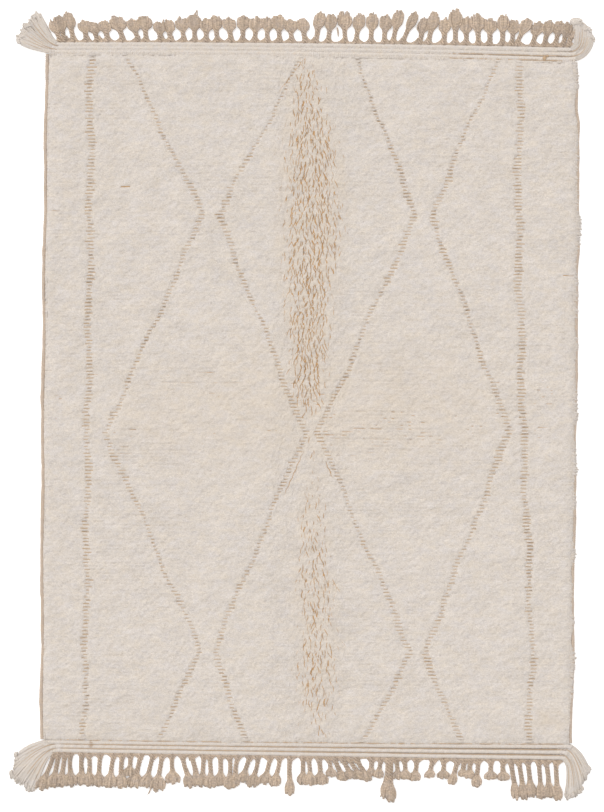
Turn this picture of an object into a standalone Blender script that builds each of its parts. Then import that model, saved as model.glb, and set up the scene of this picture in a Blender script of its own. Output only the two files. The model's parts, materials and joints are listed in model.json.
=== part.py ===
"""Ivory Beni Ourain wool rug with a zigzag lattice, twined ends and tan warp fringes, lying flat.

Metres. X runs across the rug, Y along it towards the end with the broad fringe heads, and Z up.
The origin is on the floor under the middle of the pile. Tables give millimetres, named at their
columns.
"""

import math
import random
from collections import namedtuple

import bmesh
import bpy
from mathutils import Vector, noise

RUG_NAME = "beni_ourain_rug"
SEED = 5
MM = 0.001
GAP = 0.3 * MM  # between one piece and its neighbour

# The pile field: ground weave and knotted pile in one
HALF_WIDTH = 0.765
HALF_LENGTH = 0.985
FIELD_COLUMNS = 20
FIELD_ROWS = 27
RIM_INSET = 0.012  # how far in from the rim the pile reaches its full height
PILE_TOP = 0.0172
RIM_TOP = 0.0156
LUMP_HEIGHT = 0.0014
LUMP_SIZE = 0.13
SWELL_SIZE = LUMP_SIZE * 3
SWELL_SEED = SEED + 9
SIDE_WAVE = 0.0014
SIDE_WAVE_LENGTH = 0.41
SIDE_WAVE_PHASE = 9  # radians for each metre that a side lies from the middle

# Edges that cross the rug: Y at the middle, its change towards +X, and its bow
CrossEdge = namedtuple("CrossEdge", "middle tilt bow")
PILE_TOP_EDGE = CrossEdge(0.9845, -0.0122, -0.0065)
BAND_TOP_EDGE = CrossEdge(1.0210, -0.0072, -0.0048)
PILE_BOTTOM_EDGE = CrossEdge(-0.9960, -0.0058, 0.0029)
BAND_BOTTOM_EDGE = CrossEdge(-1.0362, -0.0125, 0.0000)

# Outer edges of the selvedges: X at the middle, its change towards +Y, its bow, and how far the
# weave is drawn in at its +Y end
SideEdge = namedtuple("SideEdge", "middle tilt bow tuck")
LEFT_EDGE = SideEdge(-0.7745, 0.0075, 0.0040, 0.0000)
RIGHT_EDGE = SideEdge(0.7700, 0.0115, -0.0015, 0.0075)
TUCK_START = 0.785  # the Y from which the weave is drawn in
TUCK_LENGTH = 0.050
SELVEDGE_WIDTH = 0.0095
SELVEDGE_HEIGHT = 0.0090
SELVEDGE_END_GAP = 0.0006  # more than the usual gap, because the end cords slope past

# The lattice, sunk into the pile: X of each line where it meets the rows of turning points, in mm
TURN_ROWS = (1.000, 0.524, -0.103, -0.734, -1.010)
LatticeLine = namedtuple("LatticeLine", "top upper middle lower bottom width")
LATTICE = (
    LatticeLine(-632, -633, -641, -646, -654, 16),
    LatticeLine(-538, -308, -590, -315, -450, 13),
    LatticeLine(-10, -264, -14, -277, -176, 13),
    LatticeLine(124, 306, 24, 290, 146, 13),
    LatticeLine(552, 351, 574, 331, 438, 13),
    LatticeLine(607, 600, 614, 640, 630, 16),
)
GROOVE_DEPTH = 0.0055
GROOVE_STEP = 0.075
CUTTER_RISE = 0.006  # how far a groove's cutter stands above the pile
WANDER = 0.0060  # how far the hand-knotted lines stray from straight
WANDER_LENGTH = 0.31
WANDER_PHASE = 2.1  # radians from one line to the next
QUICK_SHARE = 0.4  # of the quick wander against the slow one
QUICK_LENGTH = WANDER_LENGTH * 0.37
QUICK_PHASE = 1.3

# Opened pile down the middle: short wavy slits inside a tapering patch, in mm
SlitPatch = namedtuple("SlitPatch", "top_x top_y bottom_x bottom_y half_width slit_length")
SLIT_PATCHES = (
    SlitPatch(22, 930, -10, 10, 78, 130),
    SlitPatch(0, -260, 18, -930, 40, 110),
)
SLIT_PITCH = 0.029
SLIT_WIDTH = 0.0085
SLIT_DEPTH = 0.0060
SLIT_WAVE = 0.0035
SLIT_STEPS = 4
SLIT_TURN = 1.9  # radians of a slit's wave from one step to the next
SLIT_TAPER = 0.35  # how much of the patch the outer columns leave free at each end
SLIT_LATE_START = 0.05
SLIT_LENGTH_RANGE = (0.7, 1.3)
SLIT_REST_RANGE = (0.025, 0.06)
SLIT_CLEARANCE = 0.020  # between a slit and a lattice line

# Pile locks standing out over the rim
SIDE_LOCKS = 42
END_LOCKS = 30
LOCK_ROOT = 0.006
LOCK_REACH = 0.0065
LOCK_WIDTH = 0.019
LOCK_UNDERSIDE = 0.0108
LOCK_THICKNESS = 0.0026
LOCK_TOP_WIDTH = 0.58  # of any four-sided lock, as a share of its underside
LOCK_PLACE_JITTER = 0.2
LOCK_TURN = 0.25
LOCK_WIDTH_RANGE = (0.75, 1.2)
LOCK_REACH_RANGE = (0.6, 1.4)
LOCK_LIFT = 0.0006
LOCK_END_LIFT = 0.0003
LOCK_END_WIDTH = 0.4
LOCK_END_THICKNESS = 0.6

# Three ivory cords twined across each end, row 1 next to the fringe
CORD_ROWS = 3
CORD_HEIGHT = 0.0088
CORD_STEPS = 15
CORD_BEND_STEPS = 6
CORD_SPLIT = 0.55  # where along the bend the cord opens into its frayed locks
# Free ends, in mm: X of the bend's corner, the way to it from the bend's start, the tip, and the
# spread of the fray
CordEnd = namedtuple("CordEnd", "end side row bend_x bend tip_x tip_y spread locks")
CORD_ENDS = (
    CordEnd("top", "left", 1, -751, 28, -793, 1107, 26, 2),
    CordEnd("top", "left", 2, -760, 34, -827, 1072, 30, 2),
    CordEnd("top", "left", 3, -762, 38, -847, 1037, 26, 2),
    CordEnd("top", "right", 1, 788, 46, 768, 1086, 30, 1),
    CordEnd("top", "right", 2, 804, 60, 798, 1070, 22, 2),
    CordEnd("top", "right", 3, 816, 74, 816, 1044, 22, 2),
    CordEnd("bottom", "left", 1, -768, 40, -812, -1137, 30, 2),
    CordEnd("bottom", "left", 2, -775, 48, -862, -1100, 34, 2),
    CordEnd("bottom", "left", 3, -785, 58, -851, -1049, 30, 2),
    CordEnd("bottom", "right", 1, 754, 34, 747, -1160, 25, 2),
    CordEnd("bottom", "right", 2, 770, 34, 778, -1148, 28, 2),
    CordEnd("bottom", "right", 3, 782, 34, 803, -1085, 28, 2),
)
# Frayed locks: how the first one is rooted in the cord, how they bulge, and how their tips end
FRAY_ROOT_BACK = 0.35  # of the cord's width
FRAY_ROOT_WIDTH = 0.88  # of the cord's width
FRAY_ROOT_GAP = 0.0006
FRAY_ROOT_LIFT = 0.0010
FRAY_TIP_GAP = 0.0020
FRAY_BULGE = 1.04
FRAY_SHOULDER_BACK = 0.45  # of the tip's width
FRAY_NOSE_AHEAD = 0.1  # of the tip's width
FRAY_NOSE_WIDTH = 0.55  # of the tip's width
FrayTops = namedtuple("FrayTops", "root middle shoulder nose")
FRAY_TOPS = FrayTops(0.80, 0.95, 0.90, 0.55)  # as shares of the cord's height

# Warp fringe: groups of like strands, with the X of the first and last root and tip, in mm
STRIP_WIDTH = 0.0050
STRIP_HEIGHT = 0.0060
STRIP_END_GAP = 0.0020  # from the strip's end to where row 1 starts to bend
STRIP_STEPS = 24
Strands = namedtuple("Strands", "count root_first root_last tip_first tip_last length head")
TOP_STRANDS = (
    Strands(2, -696, -674, -728, -698, 78, 25),
    Strands(4, -644, -546, -655, -557, 64, 28),
    Strands(2, -499, -472, -508, -476, 69, 27),
    Strands(14, -430, 17, -433, 14, 75, 29),
    Strands(3, 52, 127, 46, 130, 86, 32),
    Strands(12, 173, 551, 170, 554, 80, 29),
    Strands(6, 583, 714, 589, 727, 69, 24),
)
BOTTOM_STRANDS = (
    Strands(3, -717, -673, -751, -684, 95, 26),
    Strands(7, -650, -488, -655, -488, 95, 23),
    Strands(10, -453, -214, -453, -214, 92, 22),
    Strands(4, -182, -87, -188, -91, 81, 25),
    Strands(1, -61, -61, -61, -61, 107, 24),
    Strands(3, -23, 26, -26, 32, 78, 22),
    Strands(4, 66, 136, 61, 141, 61, 22),
    Strands(2, 163, 189, 161, 189, 58, 21),
    Strands(1, 219, 219, 221, 221, 124, 27),
    Strands(5, 254, 387, 254, 384, 58, 27),
    Strands(5, 424, 523, 421, 523, 72, 20),
    Strands(2, 556, 580, 554, 580, 58, 19),
    Strands(6, 603, 709, 604, 714, 110, 18),
)
TOP_STRAND_WIDTH = 0.0150
BOTTOM_STRAND_WIDTH = 0.0130
STRAND_HEIGHT = 0.0100
HEAD_HEIGHT = 0.0130
STRAND_CLEARANCE = 0.0016
LONE_STRAND_ROOM = 4  # mm beside a strand that stands by itself
STRAND_ROOT_BACK = 0.0028
STRAND_ROOT_LIFT = 0.0010
# Sections of a strand: where they are along it, and their width and height as shares of the
# body's or the head's
Section = namedtuple("Section", "share width top")
ROOT_SECTION = Section(0.00, 0.80, 0.85)
BODY_SECTIONS = (Section(0.08, 1.02, 0.85), Section(0.50, 0.92, 1.00))
HEAD_SECTIONS = (Section(0.80, 1.00, 1.00), Section(1.00, 0.62, 0.60))
# How much the strands differ: their roots and tips as shares of the room between two, and the
# rest as shares of the usual size
ROOT_JITTER = 0.4
TIP_JITTER = 1.0
HEAD_RANGE = (0.88, 1.0)
BODY_RANGE = (0.92, 1.0)
LENGTH_RANGE = (0.93, 1.04)

# The section of each lying cord, as shares of its width and height
CROWN_SHARE = 0.45
SHOULDER_SHARE = 0.58

# Colours as linear RGB
IVORY_PILE = (0.700, 0.630, 0.555)
IVORY_CORD = (0.680, 0.610, 0.530)
TAN_WARP = (0.500, 0.385, 0.305)
TAN_WRAP = (0.520, 0.405, 0.320)
WOOL_ROUGHNESS = 0.95


def clear_scene():
    for thing in list(bpy.data.objects):
        bpy.data.objects.remove(thing)


def new_collection(name):
    collection = bpy.data.collections.new(name)
    bpy.context.scene.collection.children.link(collection)
    return collection


def wool_material(name, colour):
    material = bpy.data.materials.new(name)
    material.use_nodes = True
    shader = material.node_tree.nodes["Principled BSDF"]
    shader.inputs["Base Color"].default_value = (*colour, 1.0)
    shader.inputs["Roughness"].default_value = WOOL_ROUGHNESS
    shader.inputs["Metallic"].default_value = 0.0
    material.diffuse_color = (*colour, 1.0)
    return material


def add_object(name, mesh, collection, material=None):
    piece = bpy.data.objects.new(name, mesh)
    collection.objects.link(piece)
    if material:
        mesh.materials.append(material)
    return piece


def add_cutter(name, mesh, cutters):
    cutter = add_object(name, mesh, cutters)
    cutter.hide_render = True
    cutter.display_type = "WIRE"
    return cutter


def add_boolean(piece, operation, cutter):
    boolean = piece.modifiers.new(cutter.name, "BOOLEAN")
    boolean.operation = operation
    boolean.solver = "EXACT"
    boolean.object = cutter


def mesh_from(bm, name):
    bmesh.ops.recalc_face_normals(bm, faces=bm.faces)
    mesh = bpy.data.meshes.new(name)
    bm.to_mesh(mesh)
    bm.free()
    return mesh


def poly_curve(name, points, cyclic, dimensions):
    curve = bpy.data.curves.new(name, "CURVE")
    curve.dimensions = dimensions
    spline = curve.splines.new("POLY")
    spline.points.add(len(points) - 1)
    for spline_point, point in zip(spline.points, points):
        spline_point.co = (*point, 1.0)
    spline.use_cyclic_u = cyclic
    return curve


def crowned_profile(width, height):
    """The section of a cord that lies on the floor: flat under, upright at the sides and crowned."""
    half, crown, shoulder = width / 2, width * CROWN_SHARE / 2, height * SHOULDER_SHARE
    right = ((half, 0.0), (half, shoulder), (crown, height))
    left = ((-crown, height), (-half, shoulder), (-half, 0.0))
    return (*right, *left)


def swept_mesh(name, profile, route, scales=None):
    """A closed profile of (side, up) points carried along a route, with its ends capped."""
    section = bpy.data.objects.new(
        name + "_section", poly_curve(name + "_section", [(s, u, 0.0) for s, u in profile], True, "2D")
    )
    curve = poly_curve(name, route, False, "3D")
    curve.twist_mode = "Z_UP"
    curve.bevel_mode = "OBJECT"
    curve.bevel_object = section
    curve.use_fill_caps = True
    for index, scale in enumerate(scales or ()):
        curve.splines[0].points[index].radius = scale
    sweep = bpy.data.objects.new(name + "_sweep", curve)
    for helper in (section, sweep):
        bpy.context.scene.collection.objects.link(helper)
    depsgraph = bpy.context.evaluated_depsgraph_get()
    mesh = bpy.data.meshes.new_from_object(sweep.evaluated_get(depsgraph))
    bm = bmesh.new()
    bm.from_mesh(mesh)
    bmesh.ops.remove_doubles(bm, verts=bm.verts, dist=1e-6)
    bpy.data.meshes.remove(mesh)
    for helper in (sweep, section):
        helper_curve = helper.data
        bpy.data.objects.remove(helper)
        bpy.data.curves.remove(helper_curve)
    return mesh_from(bm, name)


def joined_mesh(name, meshes):
    bm = bmesh.new()
    for mesh in meshes:
        bm.from_mesh(mesh)
        bpy.data.meshes.remove(mesh)
    return mesh_from(bm, name)


def add_lock(bm, sections):
    """Adds a tapering four-sided lock through sections of (centre, across, width, bottom, top)."""
    rings = []
    for centre, across, width, bottom, top in sections:
        low, high = across * width / 2, across * width * LOCK_TOP_WIDTH / 2
        corners = (
            centre - low + Vector((0, 0, bottom)),
            centre + low + Vector((0, 0, bottom)),
            centre + high + Vector((0, 0, top)),
            centre - high + Vector((0, 0, top)),
        )
        rings.append([bm.verts.new(corner) for corner in corners])
    for ring, following in zip(rings, rings[1:]):
        for side in range(4):
            after = (side + 1) % 4
            bm.faces.new((ring[side], ring[after], following[after], following[side]))
    bm.faces.new(rings[0][::-1])
    bm.faces.new(rings[-1])


def edge_y(edge, x):
    share = x / HALF_WIDTH
    return edge.middle + edge.tilt * share + edge.bow * share * share


def side_x(edge, y):
    share = y / HALF_LENGTH
    wave = SIDE_WAVE * math.sin(2 * math.pi * y / SIDE_WAVE_LENGTH + edge.middle * SIDE_WAVE_PHASE)
    drawn = max(0.0, min(1.0, (y - TUCK_START) / TUCK_LENGTH))
    tuck = edge.tuck * drawn * drawn * (3 - 2 * drawn)
    return edge.middle + edge.tilt * share + edge.bow * share * share + wave - tuck


def field_point(u, v):
    """The place on the pile field at shares u across and v along, from its lower left corner."""
    inset = SELVEDGE_WIDTH + GAP
    guess_x = (2 * u - 1) * HALF_WIDTH
    guess_low, guess_high = edge_y(PILE_BOTTOM_EDGE, guess_x), edge_y(PILE_TOP_EDGE, guess_x)
    guess_y = guess_low + (guess_high - guess_low) * v
    left, right = side_x(LEFT_EDGE, guess_y) + inset, side_x(RIGHT_EDGE, guess_y) - inset
    x = left + (right - left) * u
    low, high = edge_y(PILE_BOTTOM_EDGE, x), edge_y(PILE_TOP_EDGE, x)
    return x, low + (high - low) * v


def pile_height(x, y):
    lump = noise.noise(Vector((x / LUMP_SIZE, y / LUMP_SIZE, SEED)))
    swell = noise.noise(Vector((x / SWELL_SIZE, y / SWELL_SIZE, SWELL_SEED)))
    return PILE_TOP + LUMP_HEIGHT * (lump + swell)


def shares(count, inset):
    """Shares from 0 to 1: an outer step of the inset, and even steps between."""
    inner = [inset + (1 - 2 * inset) * i / (count - 2) for i in range(count - 1)]
    return [0.0, *inner, 1.0]


def line_x(index, y):
    """X of a lattice line at Y, with its hand-knotted wander."""
    line = LATTICE[index]
    stops = (line.top, line.upper, line.middle, line.lower, line.bottom)
    for row in range(4):
        if y >= TURN_ROWS[row + 1] or row == 3:
            share = (TURN_ROWS[row] - y) / (TURN_ROWS[row] - TURN_ROWS[row + 1])
            straight = (stops[row] + (stops[row + 1] - stops[row]) * share) * MM
            break
    slow = math.sin(2 * math.pi * y / WANDER_LENGTH + WANDER_PHASE * index)
    quick = math.sin(2 * math.pi * y / QUICK_LENGTH + QUICK_PHASE * index)
    return straight + WANDER * (slow + QUICK_SHARE * quick) / (1 + QUICK_SHARE)


def lattice_route(index):
    """Points along a lattice line, with one at each of its turning points."""
    points = []
    for row in range(4):
        high, low = TURN_ROWS[row], TURN_ROWS[row + 1]
        steps = max(1, round((high - low) / GROOVE_STEP))
        points += [high + (low - high) * step / steps for step in range(steps)]
    points.append(TURN_ROWS[4])
    return [(line_x(index, y), y) for y in points]


def groove_mesh(name, route, width, depth):
    """A cutter with a V underside that follows the lumps of the pile."""
    high = depth + CUTTER_RISE
    half = width / 2 * high / depth
    profile = ((0.0, 0.0), (half, high), (-half, high))
    return swept_mesh(name, profile, [(x, y, pile_height(x, y) - depth) for x, y in route])


def slit_routes(rng):
    """Short wavy lines in columns, inside patches that taper to both ends."""
    routes = []
    for patch in SLIT_PATCHES:
        top, bottom = patch.top_y * MM, patch.bottom_y * MM
        columns = int(patch.half_width * MM / SLIT_PITCH)
        for column in range(-columns, columns + 1):
            reach = math.cos(0.5 * math.pi * column / (columns + 1))
            taper = (top - bottom) * SLIT_TAPER * (1 - reach)
            start = top - taper - rng.uniform(0, SLIT_LATE_START)
            stop = bottom + taper
            while start > stop:
                length = patch.slit_length * MM * rng.uniform(*SLIT_LENGTH_RANGE)
                phase = rng.uniform(0, 2 * math.pi)
                route = []
                for step in range(SLIT_STEPS + 1):
                    y = start - length * step / SLIT_STEPS
                    share = (top - y) / (top - bottom)
                    axis = (patch.top_x + (patch.bottom_x - patch.top_x) * share) * MM
                    wave = SLIT_WAVE * math.sin(phase + step * SLIT_TURN)
                    route.append((axis + column * SLIT_PITCH + wave, y))
                routes.append(route)
                start -= length + rng.uniform(*SLIT_REST_RANGE)
    return routes


def near_lattice(route, clearance):
    return any(abs(x - line_x(index, y)) < clearance for x, y in route for index in (1, 2, 3, 4))


def rim_lock_mesh(rng):
    """Locks of pile that stand out over the selvedges and the end cords."""
    bm = bmesh.new()
    rims = (
        (SIDE_LOCKS, lambda share: (0.0, share), Vector((-1, 0, 0))),
        (SIDE_LOCKS, lambda share: (1.0, share), Vector((1, 0, 0))),
        (END_LOCKS, lambda share: (share, 0.0), Vector((0, -1, 0))),
        (END_LOCKS, lambda share: (share, 1.0), Vector((0, 1, 0))),
    )
    for count, place, outward in rims:
        for index in range(count):
            share = (index + 0.5 + rng.uniform(-LOCK_PLACE_JITTER, LOCK_PLACE_JITTER)) / count
            x, y = field_point(*place(share))
            turn = rng.uniform(-LOCK_TURN, LOCK_TURN)
            sideways = Vector((-outward.y, outward.x, 0))
            heading = (outward + sideways * turn).normalized()
            across = Vector((-heading.y, heading.x, 0))
            width = LOCK_WIDTH * rng.uniform(*LOCK_WIDTH_RANGE)
            reach = LOCK_REACH * rng.uniform(*LOCK_REACH_RANGE)
            rim = Vector((x, y, 0))
            low = LOCK_UNDERSIDE + rng.uniform(0, LOCK_LIFT)
            root = (rim - heading * LOCK_ROOT, across, width, low, low + LOCK_THICKNESS)
            end_top = low + LOCK_THICKNESS * LOCK_END_THICKNESS
            end = (rim + heading * reach, across, width * LOCK_END_WIDTH, low + LOCK_END_LIFT, end_top)
            add_lock(bm, (root, end))
    return mesh_from(bm, "rim_locks")


def make_field(parts, cutters, rng):
    bm = bmesh.new()
    bmesh.ops.create_grid(bm, x_segments=FIELD_COLUMNS, y_segments=FIELD_ROWS, size=0.5)
    across = shares(FIELD_COLUMNS, RIM_INSET / (2 * HALF_WIDTH))
    along = shares(FIELD_ROWS, RIM_INSET / (2 * HALF_LENGTH))
    rim = set()
    for vert in bm.verts:
        column = round((vert.co.x + 0.5) * FIELD_COLUMNS)
        row = round((vert.co.y + 0.5) * FIELD_ROWS)
        x, y = field_point(across[column], along[row])
        vert.co = (x, y, 0.0)
        if column in (0, FIELD_COLUMNS) or row in (0, FIELD_ROWS):
            rim.add((x, y))
    underside = list(bm.faces)
    raised = bmesh.ops.extrude_face_region(bm, geom=underside, use_keep_orig=True)
    for vert in (item for item in raised["geom"] if isinstance(item, bmesh.types.BMVert)):
        height = pile_height(vert.co.x, vert.co.y)
        on_rim = any(abs(vert.co.x - x) < 1e-6 and abs(vert.co.y - y) < 1e-6 for x, y in rim)
        vert.co.z = height - (PILE_TOP - RIM_TOP) if on_rim else height
    lengthwise = [
        edge
        for edge in bm.edges
        if max(vert.co.z for vert in edge.verts) == 0.0
        and len(edge.link_faces) == 2
        and all(max(vert.co.z for vert in face.verts) == 0.0 for face in edge.link_faces)
        and abs(edge.verts[0].co.x - edge.verts[1].co.x) < abs(edge.verts[0].co.y - edge.verts[1].co.y)
    ]
    bmesh.ops.dissolve_edges(bm, edges=lengthwise, use_verts=True)
    pile = wool_material("ivory_pile", IVORY_PILE)
    field = add_object("rug_field", mesh_from(bm, "rug_field"), parts, pile)
    add_boolean(field, "UNION", add_cutter("rim_locks", rim_lock_mesh(rng), cutters))
    grooves = [
        groove_mesh(f"groove_{index}", lattice_route(index), line.width * MM, GROOVE_DEPTH)
        for index, line in enumerate(LATTICE)
    ]
    lattice = add_cutter("lattice_grooves", joined_mesh("lattice_grooves", grooves), cutters)
    add_boolean(field, "DIFFERENCE", lattice)
    slits = [
        groove_mesh(f"slit_{index}", route, SLIT_WIDTH, SLIT_DEPTH)
        for index, route in enumerate(slit_routes(rng))
        if not near_lattice(route, SLIT_CLEARANCE)
    ]
    openings = add_cutter("pile_slits", joined_mesh("pile_slits", slits), cutters)
    add_boolean(field, "DIFFERENCE", openings)


def make_selvedge(name, u, outward, parts, material):
    """The tan wrapped cord that lies against a long side of the pile."""
    half = SELVEDGE_WIDTH / 2
    route = []
    for v in shares(FIELD_ROWS, RIM_INSET / (2 * HALF_LENGTH)):
        x, y = field_point(u, v)
        end_gap = SELVEDGE_END_GAP * ((v == 0.0) - (v == 1.0))
        route.append((x + outward * (GAP + half), y + end_gap, 0.0))
    profile = crowned_profile(SELVEDGE_WIDTH, SELVEDGE_HEIGHT)
    add_object(name, swept_mesh(name, profile, route), parts, material)


def end_edges(end):
    """The edges of the pile and of the band of cords at one end."""
    if end == "top":
        return PILE_TOP_EDGE, BAND_TOP_EDGE
    return PILE_BOTTOM_EDGE, BAND_BOTTOM_EDGE


def cord_y(end, row, x):
    """Y of a twined row's middle: row 1 is next to the fringe and the last one next to the pile."""
    pile, band = end_edges(end)
    outward = 1 if end == "top" else -1
    outer, inner = edge_y(band, x), edge_y(pile, x) + outward * GAP / 2
    return outer + (inner - outer) * (row - 0.5) / CORD_ROWS


def cord_width(end, x):
    pile, band = end_edges(end)
    return (abs(edge_y(band, x) - edge_y(pile, x)) - GAP / 2) / CORD_ROWS - GAP


def cord_ends(end, row):
    """The left and right free ends of one cord."""
    return [item for item in CORD_ENDS if item.end == end and item.row == row]


def bend_point(cord_end, share):
    """A point on the curve from a twined row, round its corner, to the free tip."""
    side = 1 if cord_end.side == "right" else -1
    bend_x = cord_end.bend_x * MM
    start_x = bend_x - side * cord_end.bend * MM
    start = Vector((start_x, cord_y(cord_end.end, cord_end.row, start_x), 0))
    corner = Vector((bend_x, cord_y(cord_end.end, cord_end.row, bend_x), 0))
    tip = Vector((cord_end.tip_x * MM, cord_end.tip_y * MM, 0))
    return start * (1 - share) ** 2 + corner * 2 * share * (1 - share) + tip * share**2


def add_frayed_end(bm, cord_end, width):
    """The cord's free end, opened into locks that spread towards the tip."""
    split = bend_point(cord_end, CORD_SPLIT)
    tip = bend_point(cord_end, 1.0)
    heading = (tip - split).normalized()
    across = Vector((-heading.y, heading.x, 0))
    root = split - heading * width * FRAY_ROOT_BACK
    spread = cord_end.spread * MM / cord_end.locks
    root_width = width * FRAY_ROOT_WIDTH / cord_end.locks
    tip_width = spread - FRAY_TIP_GAP
    middle_width = (root_width + tip_width) / 2
    nose_width = tip_width * FRAY_NOSE_WIDTH
    root_top, middle_top, shoulder_top, nose_top = (CORD_HEIGHT * share for share in FRAY_TOPS)
    for lock in range(cord_end.locks):
        aside = across * (lock - (cord_end.locks - 1) / 2)
        start = root + aside * (root_width + FRAY_ROOT_GAP)
        middle = (split + tip) / 2 + aside * (root_width + spread) / 2 * FRAY_BULGE
        end = tip + aside * spread
        shoulder = end - heading * tip_width * FRAY_SHOULDER_BACK
        nose = end + heading * tip_width * FRAY_NOSE_AHEAD
        add_lock(
            bm,
            (
                (start, across, root_width, FRAY_ROOT_LIFT, root_top),
                (middle, across, middle_width, 0.0, middle_top),
                (shoulder, across, tip_width, 0.0, shoulder_top),
                (nose, across, nose_width, 0.0, nose_top),
            ),
        )


def make_end_cord(end, row, parts, cutters, material):
    """One twined cord across an end, with both free ends bent round the corners."""
    name = f"end_cord_{end}_{row}"
    left, right = cord_ends(end, row)
    bend = [CORD_SPLIT * step / CORD_BEND_STEPS for step in range(CORD_BEND_STEPS + 1)]
    start, stop = bend_point(left, 0.0).x, bend_point(right, 0.0).x
    route = [bend_point(left, share) for share in reversed(bend)]
    for step in range(1, CORD_STEPS):
        x = start + (stop - start) * step / CORD_STEPS
        route.append(Vector((x, cord_y(end, row, x), 0)))
    route += [bend_point(right, share) for share in bend]
    middle = cord_width(end, 0.0)
    profile = crowned_profile(middle, CORD_HEIGHT)
    scales = [cord_width(end, max(start, min(stop, point.x))) / middle for point in route]
    cord = add_object(name, swept_mesh(name, profile, route, scales), parts, material)
    bm = bmesh.new()
    for cord_end in (left, right):
        add_frayed_end(bm, cord_end, cord_width(end, start if cord_end is left else stop))
    add_boolean(cord, "UNION", add_cutter(name + "_fray", mesh_from(bm, name + "_fray"), cutters))


def strand_places(groups):
    for group in groups:
        steps = max(1, group.count - 1)
        for index in range(group.count):
            share = index / steps
            root = group.root_first + (group.root_last - group.root_first) * share
            tip = group.tip_first + (group.tip_last - group.tip_first) * share
            pitch = group.head + LONE_STRAND_ROOM
            if group.count > 1:
                pitch = abs(group.tip_last - group.tip_first) / steps
            yield root * MM, tip * MM, group.length * MM, group.head * MM, pitch * MM


def add_strand(bm, root_x, tip_x, base_y, outward, length, head, body, lengthwise):
    """One twisted bundle of warps: a spread root, an even body and a wide head."""
    root = ROOT_SECTION
    root_top = STRIP_HEIGHT * root.top
    stations = [(-STRAND_ROOT_BACK / length, body * root.width, STRAND_ROOT_LIFT, root_top)]
    for wide, high, items in ((body, STRAND_HEIGHT, BODY_SECTIONS), (head, HEAD_HEIGHT, HEAD_SECTIONS)):
        stations += [(item.share, wide * item.width, 0.0, high * item.top) for item in items]
    sections = []
    for share, width, bottom, top in stations:
        ease = share * share * (3 - 2 * share) if share > 0 else 0.0
        x = root_x + (tip_x - root_x) * ease
        centre = Vector((x, base_y + outward * length * lengthwise * share, 0))
        sections.append((centre, Vector((1, 0, 0)), width, bottom, top))
    add_lock(bm, sections)


def make_fringe(end, groups, body, parts, cutters, material, rng):
    """The warps of one end: twisted strands on the narrow line where they leave the cords."""
    band = end_edges(end)[1]
    outward = 1 if end == "top" else -1
    name = f"fringe_{end}"
    half = STRIP_WIDTH / 2
    profile = crowned_profile(STRIP_WIDTH, STRIP_HEIGHT)
    left, right = cord_ends(end, 1)
    start = bend_point(left, 0.0).x + STRIP_END_GAP
    stop = bend_point(right, 0.0).x - STRIP_END_GAP
    route = []
    for step in range(STRIP_STEPS + 1):
        x = start + (stop - start) * step / STRIP_STEPS
        route.append((x, edge_y(band, x) + outward * (GAP / 2 + half), 0.0))
    strip = add_object(name, swept_mesh(name, profile, route), parts, material)
    bm = bmesh.new()
    for root_x, tip_x, length, head, pitch in strand_places(groups):
        room = max(0.0, pitch - head - STRAND_CLEARANCE) / 2
        base_y = edge_y(band, root_x) + outward * (GAP / 2 + STRIP_WIDTH)
        add_strand(
            bm,
            root_x + rng.uniform(-ROOT_JITTER, ROOT_JITTER) * room,
            tip_x + rng.uniform(-TIP_JITTER, TIP_JITTER) * room,
            base_y,
            outward,
            length,
            head * rng.uniform(*HEAD_RANGE),
            body * rng.uniform(*BODY_RANGE),
            rng.uniform(*LENGTH_RANGE),
        )
    add_boolean(strip, "UNION", add_cutter(name + "_strands", mesh_from(bm, name + "_strands"), cutters))


def main():
    clear_scene()
    rng = random.Random(SEED)
    parts = new_collection(RUG_NAME)
    cutters = new_collection(RUG_NAME + "_cutters")
    make_field(parts, cutters, rng)
    wrap = wool_material("tan_wrap", TAN_WRAP)
    make_selvedge("selvedge_left", 0.0, -1, parts, wrap)
    make_selvedge("selvedge_right", 1.0, 1, parts, wrap)
    cord = wool_material("ivory_cord", IVORY_CORD)
    for end in ("top", "bottom"):
        for row in range(1, CORD_ROWS + 1):
            make_end_cord(end, row, parts, cutters, cord)
    warp = wool_material("tan_warp", TAN_WARP)
    make_fringe("top", TOP_STRANDS, TOP_STRAND_WIDTH, parts, cutters, warp, rng)
    make_fringe("bottom", BOTTOM_STRANDS, BOTTOM_STRAND_WIDTH, parts, cutters, warp, rng)


main()
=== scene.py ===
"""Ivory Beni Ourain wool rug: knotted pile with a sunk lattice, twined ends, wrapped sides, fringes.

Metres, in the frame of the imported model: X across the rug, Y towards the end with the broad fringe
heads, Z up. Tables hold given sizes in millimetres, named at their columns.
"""

import json
import math
from collections import namedtuple

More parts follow.
